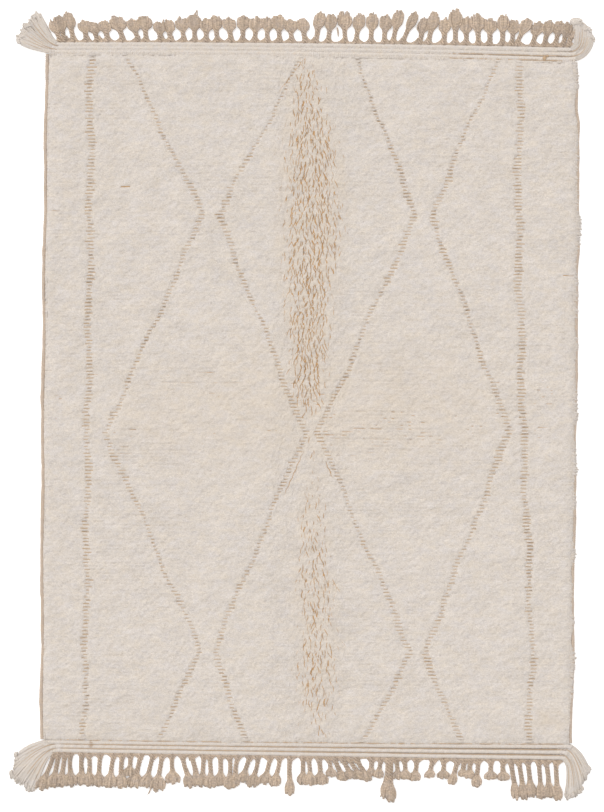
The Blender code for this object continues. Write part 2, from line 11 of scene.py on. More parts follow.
import bpy
import numpy as np
from bpy.props import FloatProperty, FloatVectorProperty, IntProperty, PointerProperty
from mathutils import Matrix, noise

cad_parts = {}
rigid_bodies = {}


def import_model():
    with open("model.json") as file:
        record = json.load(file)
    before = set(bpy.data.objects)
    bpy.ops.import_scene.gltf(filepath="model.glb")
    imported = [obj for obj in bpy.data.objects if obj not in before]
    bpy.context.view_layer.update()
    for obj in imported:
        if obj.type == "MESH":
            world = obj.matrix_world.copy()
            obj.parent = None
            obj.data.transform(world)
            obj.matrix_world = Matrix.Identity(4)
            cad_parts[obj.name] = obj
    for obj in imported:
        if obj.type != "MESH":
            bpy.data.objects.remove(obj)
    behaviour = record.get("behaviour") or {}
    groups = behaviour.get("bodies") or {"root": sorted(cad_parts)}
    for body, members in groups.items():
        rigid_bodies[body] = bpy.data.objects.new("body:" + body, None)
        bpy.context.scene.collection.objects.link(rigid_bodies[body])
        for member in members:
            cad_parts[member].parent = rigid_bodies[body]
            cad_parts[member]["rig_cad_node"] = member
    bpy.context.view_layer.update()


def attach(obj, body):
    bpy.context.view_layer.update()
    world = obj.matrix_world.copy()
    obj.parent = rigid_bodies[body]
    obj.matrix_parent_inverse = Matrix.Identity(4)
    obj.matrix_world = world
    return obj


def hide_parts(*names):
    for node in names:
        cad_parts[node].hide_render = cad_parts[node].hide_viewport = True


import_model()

bl_info = {
    "name": "Ivory lattice rug",
    "version": (1, 0, 0),
    "blender": (4, 5, 0),
    "location": "3D View > Sidebar > Rug",
    "description": "Knots, twines, wraps and fringes an ivory wool rug around its packed model",
    "category": "Object",
}

BODY = "root"
MM = 0.001
GAP = 0.3 * MM  # between one piece and its neighbour
SEED = 5
UP = np.array((0.0, 0.0, 1.0))
TURN = 2 * math.pi
ANY_PHASE = (0.0, 6.3)
# Yarns of this tone take their material's tan colour; in the fringe's warp yarn that is the tan shade of the
# strands' cores, painted shade between the plies.
TAN_TONE = -3.0  # the tone of a tan yarn among ivory ones
SENSOR = 36.0  # of the camera, in millimetres

# ---------------------------------------------------------------- sizes shared with the part

HALF_WIDTH = 0.765
HALF_LENGTH = 0.985
PILE_TOP = 0.0172
LUMP_HEIGHT = 0.0014
LUMP_SIZE = 0.13
SWELL_SIZE = LUMP_SIZE * 3
SWELL_SEED = SEED + 9
SIDE_WAVE = 0.0014
SIDE_WAVE_LENGTH = 0.41
SIDE_WAVE_PHASE = 9  # radians for each metre that a side lies from the middle

# Edges of the pile and of the band of cords: Y at the middle, its change towards +X, and its bow
CrossEdge = namedtuple("CrossEdge", "middle tilt bow")
End = namedtuple("End", "pile band outward")
ENDS = {
    "top": End(CrossEdge(0.9845, -0.0122, -0.0065), CrossEdge(1.0210, -0.0072, -0.0048), 1),
    "bottom": End(CrossEdge(-0.9960, -0.0058, 0.0029), CrossEdge(-1.0362, -0.0125, 0.0), -1),
}

# Outer edges of the selvedges, and how far the weave is drawn in at its +Y end
SideEdge = namedtuple("SideEdge", "middle tilt bow tuck")
LEFT_EDGE = SideEdge(-0.7745, 0.0075, 0.0040, 0.0)
RIGHT_EDGE = SideEdge(0.7700, 0.0115, -0.0015, 0.0075)
TUCK_START = 0.785
TUCK_LENGTH = 0.050
SELVEDGE_WIDTH = 0.0095
SELVEDGE_HEIGHT = 0.0090
CORD_ROWS = 3
STRIP_WIDTH = 0.0050


def table(columns, *rows):
    """A hand-read table, as rows with these named columns."""
    named = namedtuple("Row", columns)
    return [named(*row) for row in rows]


TURN_ROWS = (1.000, 0.524, -0.103, -0.734, -1.010)
LATTICE = table(
    "top upper middle lower bottom",
    (-632, -633, -641, -646, -654),
    (-538, -308, -590, -315, -450),
    (-10, -264, -14, -277, -176),
    (124, 306, 24, 290, 146),
    (552, 351, 574, 331, 438),
    (607, 600, 614, 640, 630),
)
OUTER_LINES = (0, len(LATTICE) - 1)
WANDER = 0.0060
WANDER_LENGTH = 0.31
WANDER_PHASE = 2.1  # radians from one line to the next
QUICK_SHARE = 0.4  # of the quick wander against the slow one
QUICK_LENGTH = WANDER_LENGTH * 0.37
QUICK_PHASE = 1.3

CORD_ENDS = table(
    "end side row bend_x bend tip_x tip_y spread",
    ("top", "left", 1, -751, 28, -793, 1107, 26),
    ("top", "left", 2, -760, 34, -827, 1072, 32),
    ("top", "left", 3, -762, 38, -847, 1037, 24),
    ("top", "right", 1, 788, 46, 768, 1086, 30),
    ("top", "right", 2, 804, 60, 798, 1070, 22),
    ("top", "right", 3, 807, 70, 813, 1046, 18),
    ("bottom", "left", 1, -768, 40, -812, -1137, 30),
    ("bottom", "left", 2, -775, 48, -862, -1100, 34),
    ("bottom", "left", 3, -785, 58, -851, -1049, 30),
    ("bottom", "right", 1, 760, 38, 747, -1160, 28),
    ("bottom", "right", 2, 763, 36, 776, -1146, 28),
    ("bottom", "right", 3, 770, 32, 804, -1086, 18),
)

# ---------------------------------------------------------------- what only the finished rug shows

# Where along the lattice the bars of yarn are long or short: the pile half hides them on slopes
BAR_RUNS = table(
    "line top bottom bar",
    (0, 1000, -120, 21), (0, -120, -1010, 16),
    (1, 1000, 600, 12), (1, 600, 440, 20), (1, 440, 0, 11), (1, 0, -200, 19),
    (1, -200, -640, 11), (1, -640, -820, 19), (1, -820, -1010, 14),
    (2, 1000, 600, 9), (2, 600, 440, 20), (2, 440, 0, 12), (2, 0, -150, 20),
    (2, -150, -640, 10), (2, -640, -820, 19), (2, -820, -1010, 16),
    (3, 1000, 600, 10), (3, 600, 440, 20), (3, 440, 0, 11), (3, 0, -150, 17),
    (3, -150, -640, 11), (3, -640, -820, 19), (3, -820, -1010, 14),
    (4, 1000, 600, 10), (4, 600, 440, 20), (4, 440, 0, 11), (4, 0, -200, 21),
    (4, -200, -640, 13), (4, -640, -820, 20), (4, -820, -1010, 17),
    (5, 1000, -120, 21), (5, -120, -1010, 17),
)

# The pile that has opened down the middle: its axis, half its width and how far it gapes
OPEN_PILE = table(
    "y x half strength",
    (1000, -16, 20, 0.10), (930, -12, 44, 0.70), (720, 2, 84, 0.90), (480, 14, 100, 0.88),
    (300, -2, 78, 0.88), (120, -5, 62, 0.96), (10, -6, 46, 0.96), (-45, -6, 12, 0.60),
    (-90, -4, 10, 0.00), (-150, 2, 20, 0.20), (-300, 8, 44, 0.46), (-560, 14, 66, 0.70),
    (-650, 18, 50, 0.52), (-780, 22, 68, 0.68), (-900, 24, 52, 0.44), (-985, 22, 30, 0.20),
)

# The fringe strand by strand: X of its root and tip, its length past the band, its head's width
STRAND_COLUMNS = "root tip length head"
TOP_STRANDS = table(
    STRAND_COLUMNS,
    (-722, -741, 61, 33), (-707, -725, 76, 36), (-683, -699, 87, 32), (-644, -652, 62, 37),
    (-612, -629, 58, 37), (-585, -595, 61, 34), (-541, -560, 75, 46), (-497, -515, 66, 34),
    (-473, -478, 76, 46), (-429, -439, 58, 33), (-401, -409, 64, 34), (-364, -372, 71, 37),
    (-332, -335, 81, 40), (-300, -300, 68, 35), (-268, -274, 77, 37), (-228, -235, 71, 40),
    (-196, -193, 78, 38), (-160, -154, 74, 40), (-123, -123, 73, 35), (-88, -92, 79, 43),
    (-53, -58, 68, 35), (-14, -23, 71, 37), (16, 30, 90, 32), (53, 61, 83, 35),
    (101, 97, 92, 43), (133, 144, 86, 35), (176, 179, 87, 35), (214, 219, 82, 37),
    (240, 258, 98, 34), (268, 303, 93, 26), (315, 332, 76, 37), (342, 359, 94, 31),
    (385, 390, 76, 32), (419, 420, 102, 38), (450, 452, 79, 34), (485, 481, 91, 39),
    (518, 518, 79, 38), (554, 557, 88, 36), (582, 588, 75, 34), (598, 628, 80, 33),
    (644, 660, 71, 34), (678, 690, 75, 34), (709, 720, 75, 33), (732, 741, 70, 32),
    (748, 756, 56, 30),
)
BOTTOM_STRANDS = table(
    STRAND_COLUMNS,
    (-739, -774, 108, 36), (-725, -741, 101, 35), (-707, -719, 100, 33), (-691, -691, 98, 34),
    (-658, -658, 93, 36), (-638, -636, 97, 37), (-605, -611, 98, 35), (-566, -579, 99, 35),
    (-541, -546, 101, 35), (-517, -520, 66, 34), (-488, -507, 97, 43), (-453, -473, 96, 35),
    (-427, -442, 106, 43), (-398, -396, 85, 37), (-367, -346, 95, 35), (-342, -322, 90, 27),
    (-307, -312, 93, 32), (-289, -284, 95, 35), (-258, -257, 89, 31), (-231, -232, 97, 34),
    (-209, -219, 90, 29), (-175, -196, 77, 29), (-150, -166, 91, 38), (-115, -131, 82, 36),
    (-88, -102, 88, 32), (-58, -58, 112, 26), (-20, -20, 82, 31), (-3, 3, 83, 33),
    (26, 32, 82, 38), (55, 62, 58, 29), (72, 95, 69, 32), (95, 121, 63, 31),
    (115, 147, 65, 31), (136, 167, 69, 26), (178, 176, 55, 22), (204, 198, 59, 26),
    (224, 217, 116, 27), (233, 232, 128, 28), (250, 255, 62, 29), (273, 277, 61, 29),
    (307, 302, 66, 33), (355, 344, 56, 30), (385, 384, 58, 34), (426, 410, 73, 27),
    (445, 439, 51, 26), (463, 460, 56, 26), (485, 479, 81, 27), (523, 520, 59, 35),
    (557, 557, 61, 32), (580, 595, 113, 24), (603, 618, 115, 26), (629, 639, 107, 27),
    (660, 667, 113, 28), (681, 692, 109, 27), (710, 715, 115, 28),
)

# Where the strands lie over one another and look darker: painted shade, as a lower tone
SHADED_STRETCHES = table(
    "end left right tone",
    ("top", -720, -690, -1.4), ("top", 670, 745, -1.0), ("bottom", -745, -686, -0.9),
    ("bottom", 60, 180, -0.6), ("bottom", 235, 280, -0.4), ("bottom", 575, 715, -0.4),
)

# Loose warps that stray from the heads
STRAY_WARPS = table(
    "from_x from_y to_x to_y",
    (-447, -1108, -468, -1149), (-444, -1110, -448, -1140), (-433, -1104, -430, -1136),
    (228, -1118, 202, -1155), (226, -1116, 207, -1150), (-62, -1110, -70, -1144),
    (-55, -1110, -52, -1144), (-514, 1076, -514, 1094), (-426, 1068, -422, 1091),
    (-331, 1090, -326, 1117), (182, 1096, 182, 1114), (78, 1066, 81, 1038),
    (-744, 1066, -749, 1091), (-699, 1096, -697, 1110), (565, 1096, 566, 1106),
)

# Where a lattice line is one thin slanting parting
PARTED_LINES = table(
    "from_x from_y to_x to_y",
    (-9, 984, -95, 872), (-17, -153, -78, -292), (101, 49, 58, -23), (43, -182, 66, -234),
)

# Rows where the pile parts crosswise
ROW_CRACKS = table(
    "left right y strength",
    (-433, -188, 37, 0.55), (-548, -375, -90, 0.50), (29, 318, -121, 0.60),
    (87, 318, -43, 0.50), (20, 110, -112, 0.80), (-548, -514, 606, 1.00),
    (-750, -716, 540, 0.80), (725, 768, 350, 0.90), (-330, -270, 75, 0.70),
    (380, 470, 20, 0.45), (-215, -160, -62, 0.55), (130, 300, -150, 0.40),
    (-520, -420, 118, 0.35), (470, 560, -190, 0.35),
)

# Where the wool has yellowed, where the twined cords are stained, and where flecks of the ground
# show through scuffed pile
MARK_COLUMNS = "x y half_width half_length strength"
YELLOWED = table(
    MARK_COLUMNS,
    (40, -30, 620, 230, 0.42), (-430, -60, 190, 150, 0.30), (330, 20, 200, 120, 0.32),
    (0, 520, 110, 420, 0.55), (10, -560, 70, 330, 0.40), (676, 964, 12, 9, 0.50),
    (-300, 965, 26, 34, 0.35), (690, -930, 60, 34, 0.45), (-632, -985, 16, 26, 0.55),
)
CORD_STAINS = table(
    MARK_COLUMNS,
    (676, 977, 6, 4, 0.85), (684, 983, 4, 2, 0.60), (-632, -1000, 7, 9, 0.38),
)
SCUFFED = table(
    MARK_COLUMNS,
    (-655, 860, 16, 130, 0.95), (-655, 500, 14, 120, 0.55), (-120, 930, 110, 80, 0.85),
    (150, 900, 70, 90, 0.70), (160, 520, 60, 200, 0.75), (-140, 400, 60, 220, 0.60),
    (130, 150, 70, 160, 0.65), (-130, 60, 70, 150, 0.70), (-560, 470, 80, 60, 0.40),
    (-260, 250, 60, 70, 0.55), (220, -60, 200, 80, 0.60), (-380, -60, 160, 70, 0.55),
    (480, 0, 110, 60, 0.45), (700, 250, 40, 200, 0.45), (-700, 200, 40, 160, 0.35),
    (60, -600, 80, 240, 0.50), (-60, -640, 60, 200, 0.45), (690, -930, 60, 40, 0.60),
    (530, 930, 60, 60, 0.50),
)

# ---------------------------------------------------------------- places on the rug


def ease(values):
    """A smooth step from 0 to 1."""
    held = np.clip(values, 0.0, 1.0)
    return held * held * (3 - 2 * held)


def places(x, y, z):
    """Points from X, Y and Z, each an array or one value for all."""
    return np.stack(np.broadcast_arrays(x, y, z), -1)


def unit(vectors):
    return vectors / np.maximum(np.linalg.norm(vectors, axis=-1, keepdims=True), 1e-9)


def length_along(points):
    """The length of each route up to each of its points."""
    steps = np.linalg.norm(np.diff(points, axis=-2), axis=-1)
    return np.concatenate((np.zeros_like(steps[..., :1]), np.cumsum(steps, axis=-1)), axis=-1)


def edge_y(edge, x):
    share = x / HALF_WIDTH
    return edge.middle + edge.tilt * share + edge.bow * share * share


def side_x(edge, y):
    share = y / HALF_LENGTH
    wave = SIDE_WAVE * np.sin(TURN * y / SIDE_WAVE_LENGTH + edge.middle * SIDE_WAVE_PHASE)
    tuck = edge.tuck * ease((y - TUCK_START) / TUCK_LENGTH)
    return edge.middle + edge.tilt * share + edge.bow * share * share + wave - tuck


def pile_ends(x):
    """Y of the pile's lower and upper end at X."""
    return edge_y(ENDS["bottom"].pile, x), edge_y(ENDS["top"].pile, x)


def field_place(u, v):
    """Places on the pile field at shares u across and v along, from its lower left corner."""
    inset = SELVEDGE_WIDTH + GAP
    low, high = pile_ends((2 * u - 1) * HALF_WIDTH)
    guess_y = low + (high - low) * v
    left, right = side_x(LEFT_EDGE, guess_y) + inset, side_x(RIGHT_EDGE, guess_y) - inset
    x = left + (right - left) * u
    low, high = pile_ends(x)
    return x, low + (high - low) * v


def line_x(index, y):
    """X of a lattice line at Y, with its hand-knotted wander."""
    stops = np.array(LATTICE[index]) * MM
    straight = np.interp(y, TURN_ROWS[::-1], stops[::-1])
    slow = np.sin(TURN * y / WANDER_LENGTH + WANDER_PHASE * index)
    quick = np.sin(TURN * y / QUICK_LENGTH + QUICK_PHASE * index)
    return straight + WANDER * (slow + QUICK_SHARE * quick) / (1 + QUICK_SHARE)


def cord_y(end, row, x):
    """Y of a twined row's middle: row 1 is next to the fringe and the last one next to the pile."""
    pile, band, outward = ENDS[end]
    outer, inner = edge_y(band, x), edge_y(pile, x) + outward * GAP / 2
    return outer + (inner - outer) * (row - 0.5) / CORD_ROWS


def cord_width(end):
    pile, band, _ = ENDS[end]
    return (abs(band.middle - pile.middle) - GAP / 2) / CORD_ROWS - GAP


def cord_ends(end, row):
    """The left and right free ends of one cord."""
    return [item for item in CORD_ENDS if item.end == end and item.row == row]


def bend_points(cord_end, shares):
    """Points on the curve from a twined row, round its corner, to the free tip."""
    side = 1 if cord_end.side == "right" else -1
    bend_x = cord_end.bend_x * MM
    start_x = bend_x - side * cord_end.bend * MM
    start = places(start_x, cord_y(cord_end.end, cord_end.row, start_x), 0.0)
    corner = places(bend_x, cord_y(cord_end.end, cord_end.row, bend_x), 0.0)
    tip = places(cord_end.tip_x * MM, cord_end.tip_y * MM, 0.0)
    s = np.asarray(shares)[:, None]
    return start * (1 - s) ** 2 + corner * 2 * s * (1 - s) + tip * s**2


def straight_run(end, row):
    """X where a cord's straight part starts and stops."""
    return [bend_points(cord_end, [0.0])[0, 0] for cord_end in cord_ends(end, row)]


def wool_noise(x, y, size_x, size_y, seed):
    """Smooth noise from -1 to 1 at arrays of places, with lumps of about these sizes."""
    cells = 512
    values = np.random.default_rng(seed).uniform(-1, 1, (cells, cells))
    grid_x, grid_y = np.asarray(x) / size_x, np.asarray(y) / size_y
    column, row = np.floor(grid_x).astype(int), np.floor(grid_y).astype(int)
    across, along = ease(grid_x - column), ease(grid_y - row)
    left, right = column % cells, (column + 1) % cells
    low, high = row % cells, (row + 1) % cells
    bottom = values[left, low] * (1 - across) + values[right, low] * across
    top = values[left, high] * (1 - across) + values[right, high] * across
    return bottom * (1 - along) + top * along


def away_from(mark, x, y):
    """Distance from the middle of a mark, as a share of its size."""
    along = (y - mark.y * MM) / (mark.half_length * MM)
    return np.hypot((x - mark.x * MM) / (mark.half_width * MM), along)


# ---------------------------------------------------------------- meshes


def tube_triangles(rings, sides):
    """The wall and the two ends of one closed tube."""
    ring, around = np.meshgrid(np.arange(rings - 1), np.arange(sides), indexing="ij")
    here = ring * sides + around
    beside = ring * sides + (around + 1) % sides
    lower = np.stack((here, beside, beside + sides), -1).reshape(-1, 3)
    upper = np.stack((here, beside + sides, here + sides), -1).reshape(-1, 3)
    last = (rings - 1) * sides
    first_end = [(0, k + 1, k) for k in range(1, sides - 1)]
    last_end = [(last, last + k, last + k + 1) for k in range(1, sides - 1)]
    return np.concatenate((lower, upper, first_end, last_end))


class Yarns:
    """Gathers round yarns into one mesh, each point with its tone and its place on its yarn."""

    def __init__(self):
        self.points, self.triangles, self.tones, self.winds = [], [], [], []
        self.count = 0

    def add(self, paths, radii, sides, tones, flatten=1.0):
        """Adds closed yarns along paths (yarns, rings, 3), or along one path (rings, 3)."""
        paths = np.array(paths, float, ndmin=3)
        yarns, rings = paths.shape[:2]
        radii = np.broadcast_to(radii, (yarns, rings))
        heading = unit(np.gradient(paths, axis=1))
        side = unit(np.cross(heading, UP))
        up = np.cross(side, heading)
        angle = TURN * np.arange(sides) / sides
        wide = side[:, :, None, :] * np.cos(angle)[:, None]
        high = up[:, :, None, :] * np.sin(angle)[:, None] * flatten
        points = paths[:, :, None, :] + (wide + high) * radii[:, :, None, None]
        wind = np.empty((yarns, rings, sides, 3))
        wind[..., 0], wind[..., 1] = np.cos(angle), np.sin(angle)
        wind[..., 2] = length_along(paths)[:, :, None]
        starts = self.count + np.arange(yarns) * rings * sides
        triangles = tube_triangles(rings, sides)[None] + starts[:, None, None]
        self.points.append(points.reshape(-1, 3))
        self.triangles.append(triangles.reshape(-1, 3))
        self.winds.append(wind.reshape(-1, 3))
        self.tones.append(np.repeat(np.broadcast_to(tones, yarns), rings * sides))
        self.count += yarns * rings * sides

    def add_piece(self, name, material, slot, node):
        points = np.concatenate(self.points)
        points[:, 2] = np.maximum(points[:, 2], 0.0)
        mesh = mesh_from(name, points, np.concatenate(self.triangles))
        add_attribute(mesh, "tone", "FLOAT", np.concatenate(self.tones))
        add_attribute(mesh, "wind", "FLOAT_VECTOR", np.concatenate(self.winds))
        add_piece(name, mesh, material, slot, node)


def mesh_from(name, points, triangles):
    mesh = bpy.data.meshes.new(name)
    mesh.vertices.add(len(points))
    mesh.vertices.foreach_set("co", np.asarray(points, np.float32).ravel())
    mesh.loops.add(triangles.size)
    mesh.loops.foreach_set("vertex_index", np.asarray(triangles, np.int32).ravel())
    mesh.polygons.add(len(triangles))
    mesh.polygons.foreach_set("loop_start", np.arange(0, triangles.size, 3, dtype=np.int32))
    mesh.update(calc_edges=True)
    mesh.shade_smooth()
    return mesh


def add_attribute(mesh, name, kind, values):
    attribute = mesh.attributes.new(name, kind, "POINT")
    field = {"FLOAT": "value", "FLOAT_VECTOR": "vector", "FLOAT_COLOR": "color"}[kind]
    attribute.data.foreach_set(field, np.asarray(values, np.float32).ravel())


def add_object(name, data):
    thing = bpy.data.objects.new(name, data)
    bpy.context.scene.collection.objects.link(thing)
    return thing


def add_piece(name, mesh, material, slot, *replaced):
    """A finished piece that rides on the rug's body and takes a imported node's place."""
    piece = add_object(name, mesh)
    mesh.materials.append(material)
    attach(piece, BODY)
    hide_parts(*replaced)
    return piece


# ---------------------------------------------------------------- shader groups


class Bench:
    """Adds nodes to one tree, and sets or links their inputs."""

    def __init__(self, tree):
        self.nodes, self.links = tree.nodes, tree.links

    def add(self, kind, inputs=None, **settings):
        node = self.nodes.new(kind)
        for name, value in settings.items():
            setattr(node, name, value)
        for name, value in (inputs or {}).items():
            if isinstance(value, bpy.types.NodeSocket):
                self.links.new(value, node.inputs[name])
            else:
                node.inputs[name].default_value = value
        return node

    def group(self, tree, inputs):
        return self.add("ShaderNodeGroup", inputs, node_tree=tree).outputs

    def place(self):
        return self.add("ShaderNodeTexCoord").outputs["Object"]

    def attribute(self, name):
        return self.add("ShaderNodeAttribute", attribute_name=name).outputs

    def math(self, operation, first, second=0.0):
        return self.add("ShaderNodeMath", {0: first, 1: second}, operation=operation).outputs[0]

    def vector(self, operation, first, second, socket=1):
        inputs = {0: first, socket: second}
        return self.add("ShaderNodeVectorMath", inputs, operation=operation).outputs[0]

    def scale(self, vector, level):
        return self.vector("SCALE", vector, level, "Scale")

    def mix(self, factor, first, second):
        inputs = {0: factor, 6: first, 7: second}
        return self.add("ShaderNodeMix", inputs, data_type="RGBA").outputs[2]

    def ramp(self, value, low, high, to_high=1.0):
        inputs = {"Value": value, "From Min": low, "From Max": high, "To Max": to_high}
        return self.add("ShaderNodeMapRange", inputs, interpolation_type="SMOOTHSTEP").outputs[0]

    def noise(self, vector, scale, detail=2.0, roughness=0.5):
        inputs = {"Vector": vector, "Scale": scale, "Detail": detail, "Roughness": roughness}
        return self.add("ShaderNodeTexNoise", inputs).outputs[0]


SOCKETS = {1: "NodeSocketFloat", 3: "NodeSocketVector", 4: "NodeSocketColor"}


def node_group(name, inputs, outputs):
    """A shader group with named sockets: its tree, a bench, what it is given and its exit."""
    tree = bpy.data.node_groups.new(name, "ShaderNodeTree")
    for label, default in inputs.items():
        kind = SOCKETS[np.size(default)]
        tree.interface.new_socket(label, in_out="INPUT", socket_type=kind).default_value = default
    for label, size in outputs.items():
        tree.interface.new_socket(label, in_out="OUTPUT", socket_type=SOCKETS[size])
    bench = Bench(tree)
    return tree, bench, bench.add("NodeGroupInput").outputs, bench.add("NodeGroupOutput").inputs


def mottled_wool_group():
    """Uneven colour of hand-spun wool: broad warm and cool patches, fine light and dark flecks."""
    given = {
        "Wool": (0.7, 0.63, 0.55, 1),
        "Warm Wool": (0.74, 0.65, 0.54, 1),
        "Cool Wool": (0.7, 0.65, 0.6, 1),
        "Patch Size": 0.03,
        "Fleck Size": 0.005,
        "Fleck Strength": 0.1,
        "Cloud Strength": 0.03,
    }
    tree, bench, given, result = node_group("Mottled wool", given, {"Colour": 4})
    place = bench.vector("MULTIPLY", bench.place(), (1.0, 1.7, 1.0))
    patches = bench.noise(place, bench.math("DIVIDE", 1.0, given["Patch Size"]), 3.0, 0.6)
    warm, cool = bench.ramp(patches, 0.50, 0.68), bench.ramp(patches, 0.50, 0.34)
    colour = bench.mix(warm, given["Wool"], given["Warm Wool"])
    colour = bench.mix(cool, colour, given["Cool Wool"])
    shifted = bench.vector("ADD", place, (0.37, 0.11, 0.23))
    flecks = bench.noise(shifted, bench.math("DIVIDE", 1.0, given["Fleck Size"]), 2.0, 0.6)
    clouds = bench.noise(place, 17.0, 3.0, 0.55)
    swing = bench.math("MULTIPLY", bench.math("SUBTRACT", flecks, 0.5), given["Fleck Strength"])
    cloud = bench.math("MULTIPLY", bench.math("SUBTRACT", clouds, 0.5), given["Cloud Strength"])
    both = bench.math("MULTIPLY", bench.math("ADD", swing, cloud), 2.0)
    bench.links.new(bench.scale(colour, bench.math("ADD", 1.0, both)), result["Colour"])
    return tree


def fibre_group():
    """Fine fibres that lie in wavy locks, as relief and as thin shaded lines between them."""
    given = {"Fibre Width": 0.0015, "Fibre Length": 0.008, "Wave": 0.004}
    tree, bench, given, result = node_group("Wool fibres", given, {"Height": 1, "Shade": 1})
    place = bench.place()
    drift = bench.add("ShaderNodeTexNoise", {"Vector": place, "Scale": 45.0, "Detail": 1.0})
    centred = bench.vector("SUBTRACT", drift.outputs["Color"], (0.5, 0.5, 0.5))
    bent = bench.vector("ADD", place, bench.scale(centred, given["Wave"]))
    thin = bench.math("DIVIDE", 1.0, given["Fibre Width"])
    long = bench.math("DIVIDE", 1.0, given["Fibre Length"])
    scale = bench.add("ShaderNodeCombineXYZ", {0: thin, 1: long, 2: thin}).outputs[0]
    strands = bench.noise(bench.vector("MULTIPLY", bent, scale), 1.0, 2.0, 0.55)
    bench.links.new(strands, result["Height"])
    bench.links.new(bench.ramp(strands, 0.50, 0.30), result["Shade"])
    return tree


def ply_group():
    """The slanting grooves between the plies of a spun yarn."""
    given = {"Wind": (1, 0, 0), "Pitch": 0.008}
    tree, bench, given, result = node_group("Spun plies", given, {"Height": 1, "Groove": 1})
    wind = bench.add("ShaderNodeSeparateXYZ", {0: given["Wind"]}).outputs
    turns = bench.math("DIVIDE", bench.math("MULTIPLY", wind[2], TURN), given["Pitch"])
    sine = bench.math("MULTIPLY", bench.math("SINE", turns), wind[0])
    cosine = bench.math("MULTIPLY", bench.math("COSINE", turns), wind[1])
    height = bench.math("ABSOLUTE", bench.math("ADD", sine, cosine))
    bench.links.new(bench.math("POWER", height, 0.6), result["Height"])
    bench.links.new(bench.ramp(height, 0.35, 0.0), result["Groove"])
    return tree


# ---------------------------------------------------------------- materials


def wool_material(name, roughness, sheen):
    """A material with a plain wool shader: a bench and the shader."""
    material = bpy.data.materials.new(name)
    material.use_nodes = True
    shader = material.node_tree.nodes["Principled BSDF"]
    shader.inputs["Roughness"].default_value = roughness
    shader.inputs["Sheen Weight"].default_value = sheen
    shader.inputs["Sheen Roughness"].default_value = 0.6
    shader.inputs["Specular IOR Level"].default_value = 0.15
    return Bench(material.node_tree), shader


def mottled(bench, groups, tones, looks):
    """The colour of mottled wool in its plain, warm and cool tones."""
    named = zip(("Wool", "Warm Wool", "Cool Wool"), tones)
    return bench.group(groups["mottled"], {label: (*tone, 1) for label, tone in named} | looks)[0]


def finish(bench, shader, colour, height, distance, strength):
    """Gives the shader its colour and its relief."""
    bench.links.new(colour, shader.inputs["Base Color"])
    relief = {"Height": height, "Distance": distance, "Strength": strength}
    bench.links.new(bench.add("ShaderNodeBump", relief).outputs[0], shader.inputs["Normal"])


def pile_material(groups, colours):
    """Ivory knotted wool that shows the tan ground where it parts."""
    bench, shader = wool_material("ivory_pile_wool", 0.95, 0.12)
    marks = bench.attribute("marks")
    valley, bare, yellow = bench.add("ShaderNodeSeparateColor", {0: marks["Color"]}).outputs
    looks = {"Patch Size": 0.028, "Fleck Size": 0.0036, "Fleck Strength": 0.36, "Cloud Strength": 0.12}
    wool = mottled(bench, groups, (colours.ivory, colours.warm_ivory, colours.cool_ivory), looks)
    locks = {"Fibre Width": 0.0060, "Fibre Length": 0.0030, "Wave": 0.010}
    fibres = bench.group(groups["fibres"], locks)
    shade = (*colours.pile_shade, 1)
    colour = bench.mix(bench.math("MULTIPLY", yellow, 0.8), wool, (*colours.yellowed, 1))
    colour = bench.mix(bench.math("MULTIPLY", valley, 0.16), colour, shade)
    colour = bench.mix(bench.math("MULTIPLY", fibres["Shade"], 0.26), colour, shade)
    in_lattice = bench.ramp(marks["Alpha"], 0.05, 0.30)
    shown = bench.mix(in_lattice, (*colours.parted, 1), (*colours.sunk, 1))
    colour = bench.mix(bench.ramp(bare, 0.31, 0.72), colour, shown)
    finish(bench, shader, colour, fibres["Height"], 0.0030, 0.6)


# How each yarn is spun: the size of its patches and flecks, how strong the flecks are, the pitch
# and painted shade of its plies, its relief, the painted shade low on its flanks, and its darker specks
YarnLook = namedtuple("YarnLook", "patch fleck flecks pitch ply_shade relief crease specks")
YARN_LOOKS = {
    "ivory_yarn": YarnLook(0.020, 0.0035, 0.24, 0.0080, 0.20, 0.0010, 0.08, 0.22),
    "tan_warp_yarn": YarnLook(0.018, 0.0056, 0.60, 0.0085, 0.55, 0.0018, 0.54, 0.60),
    "tan_wrap_yarn": YarnLook(0.020, 0.0040, 0.20, 0.0055, 0.35, 0.0012, 0.20, 0.15),
}


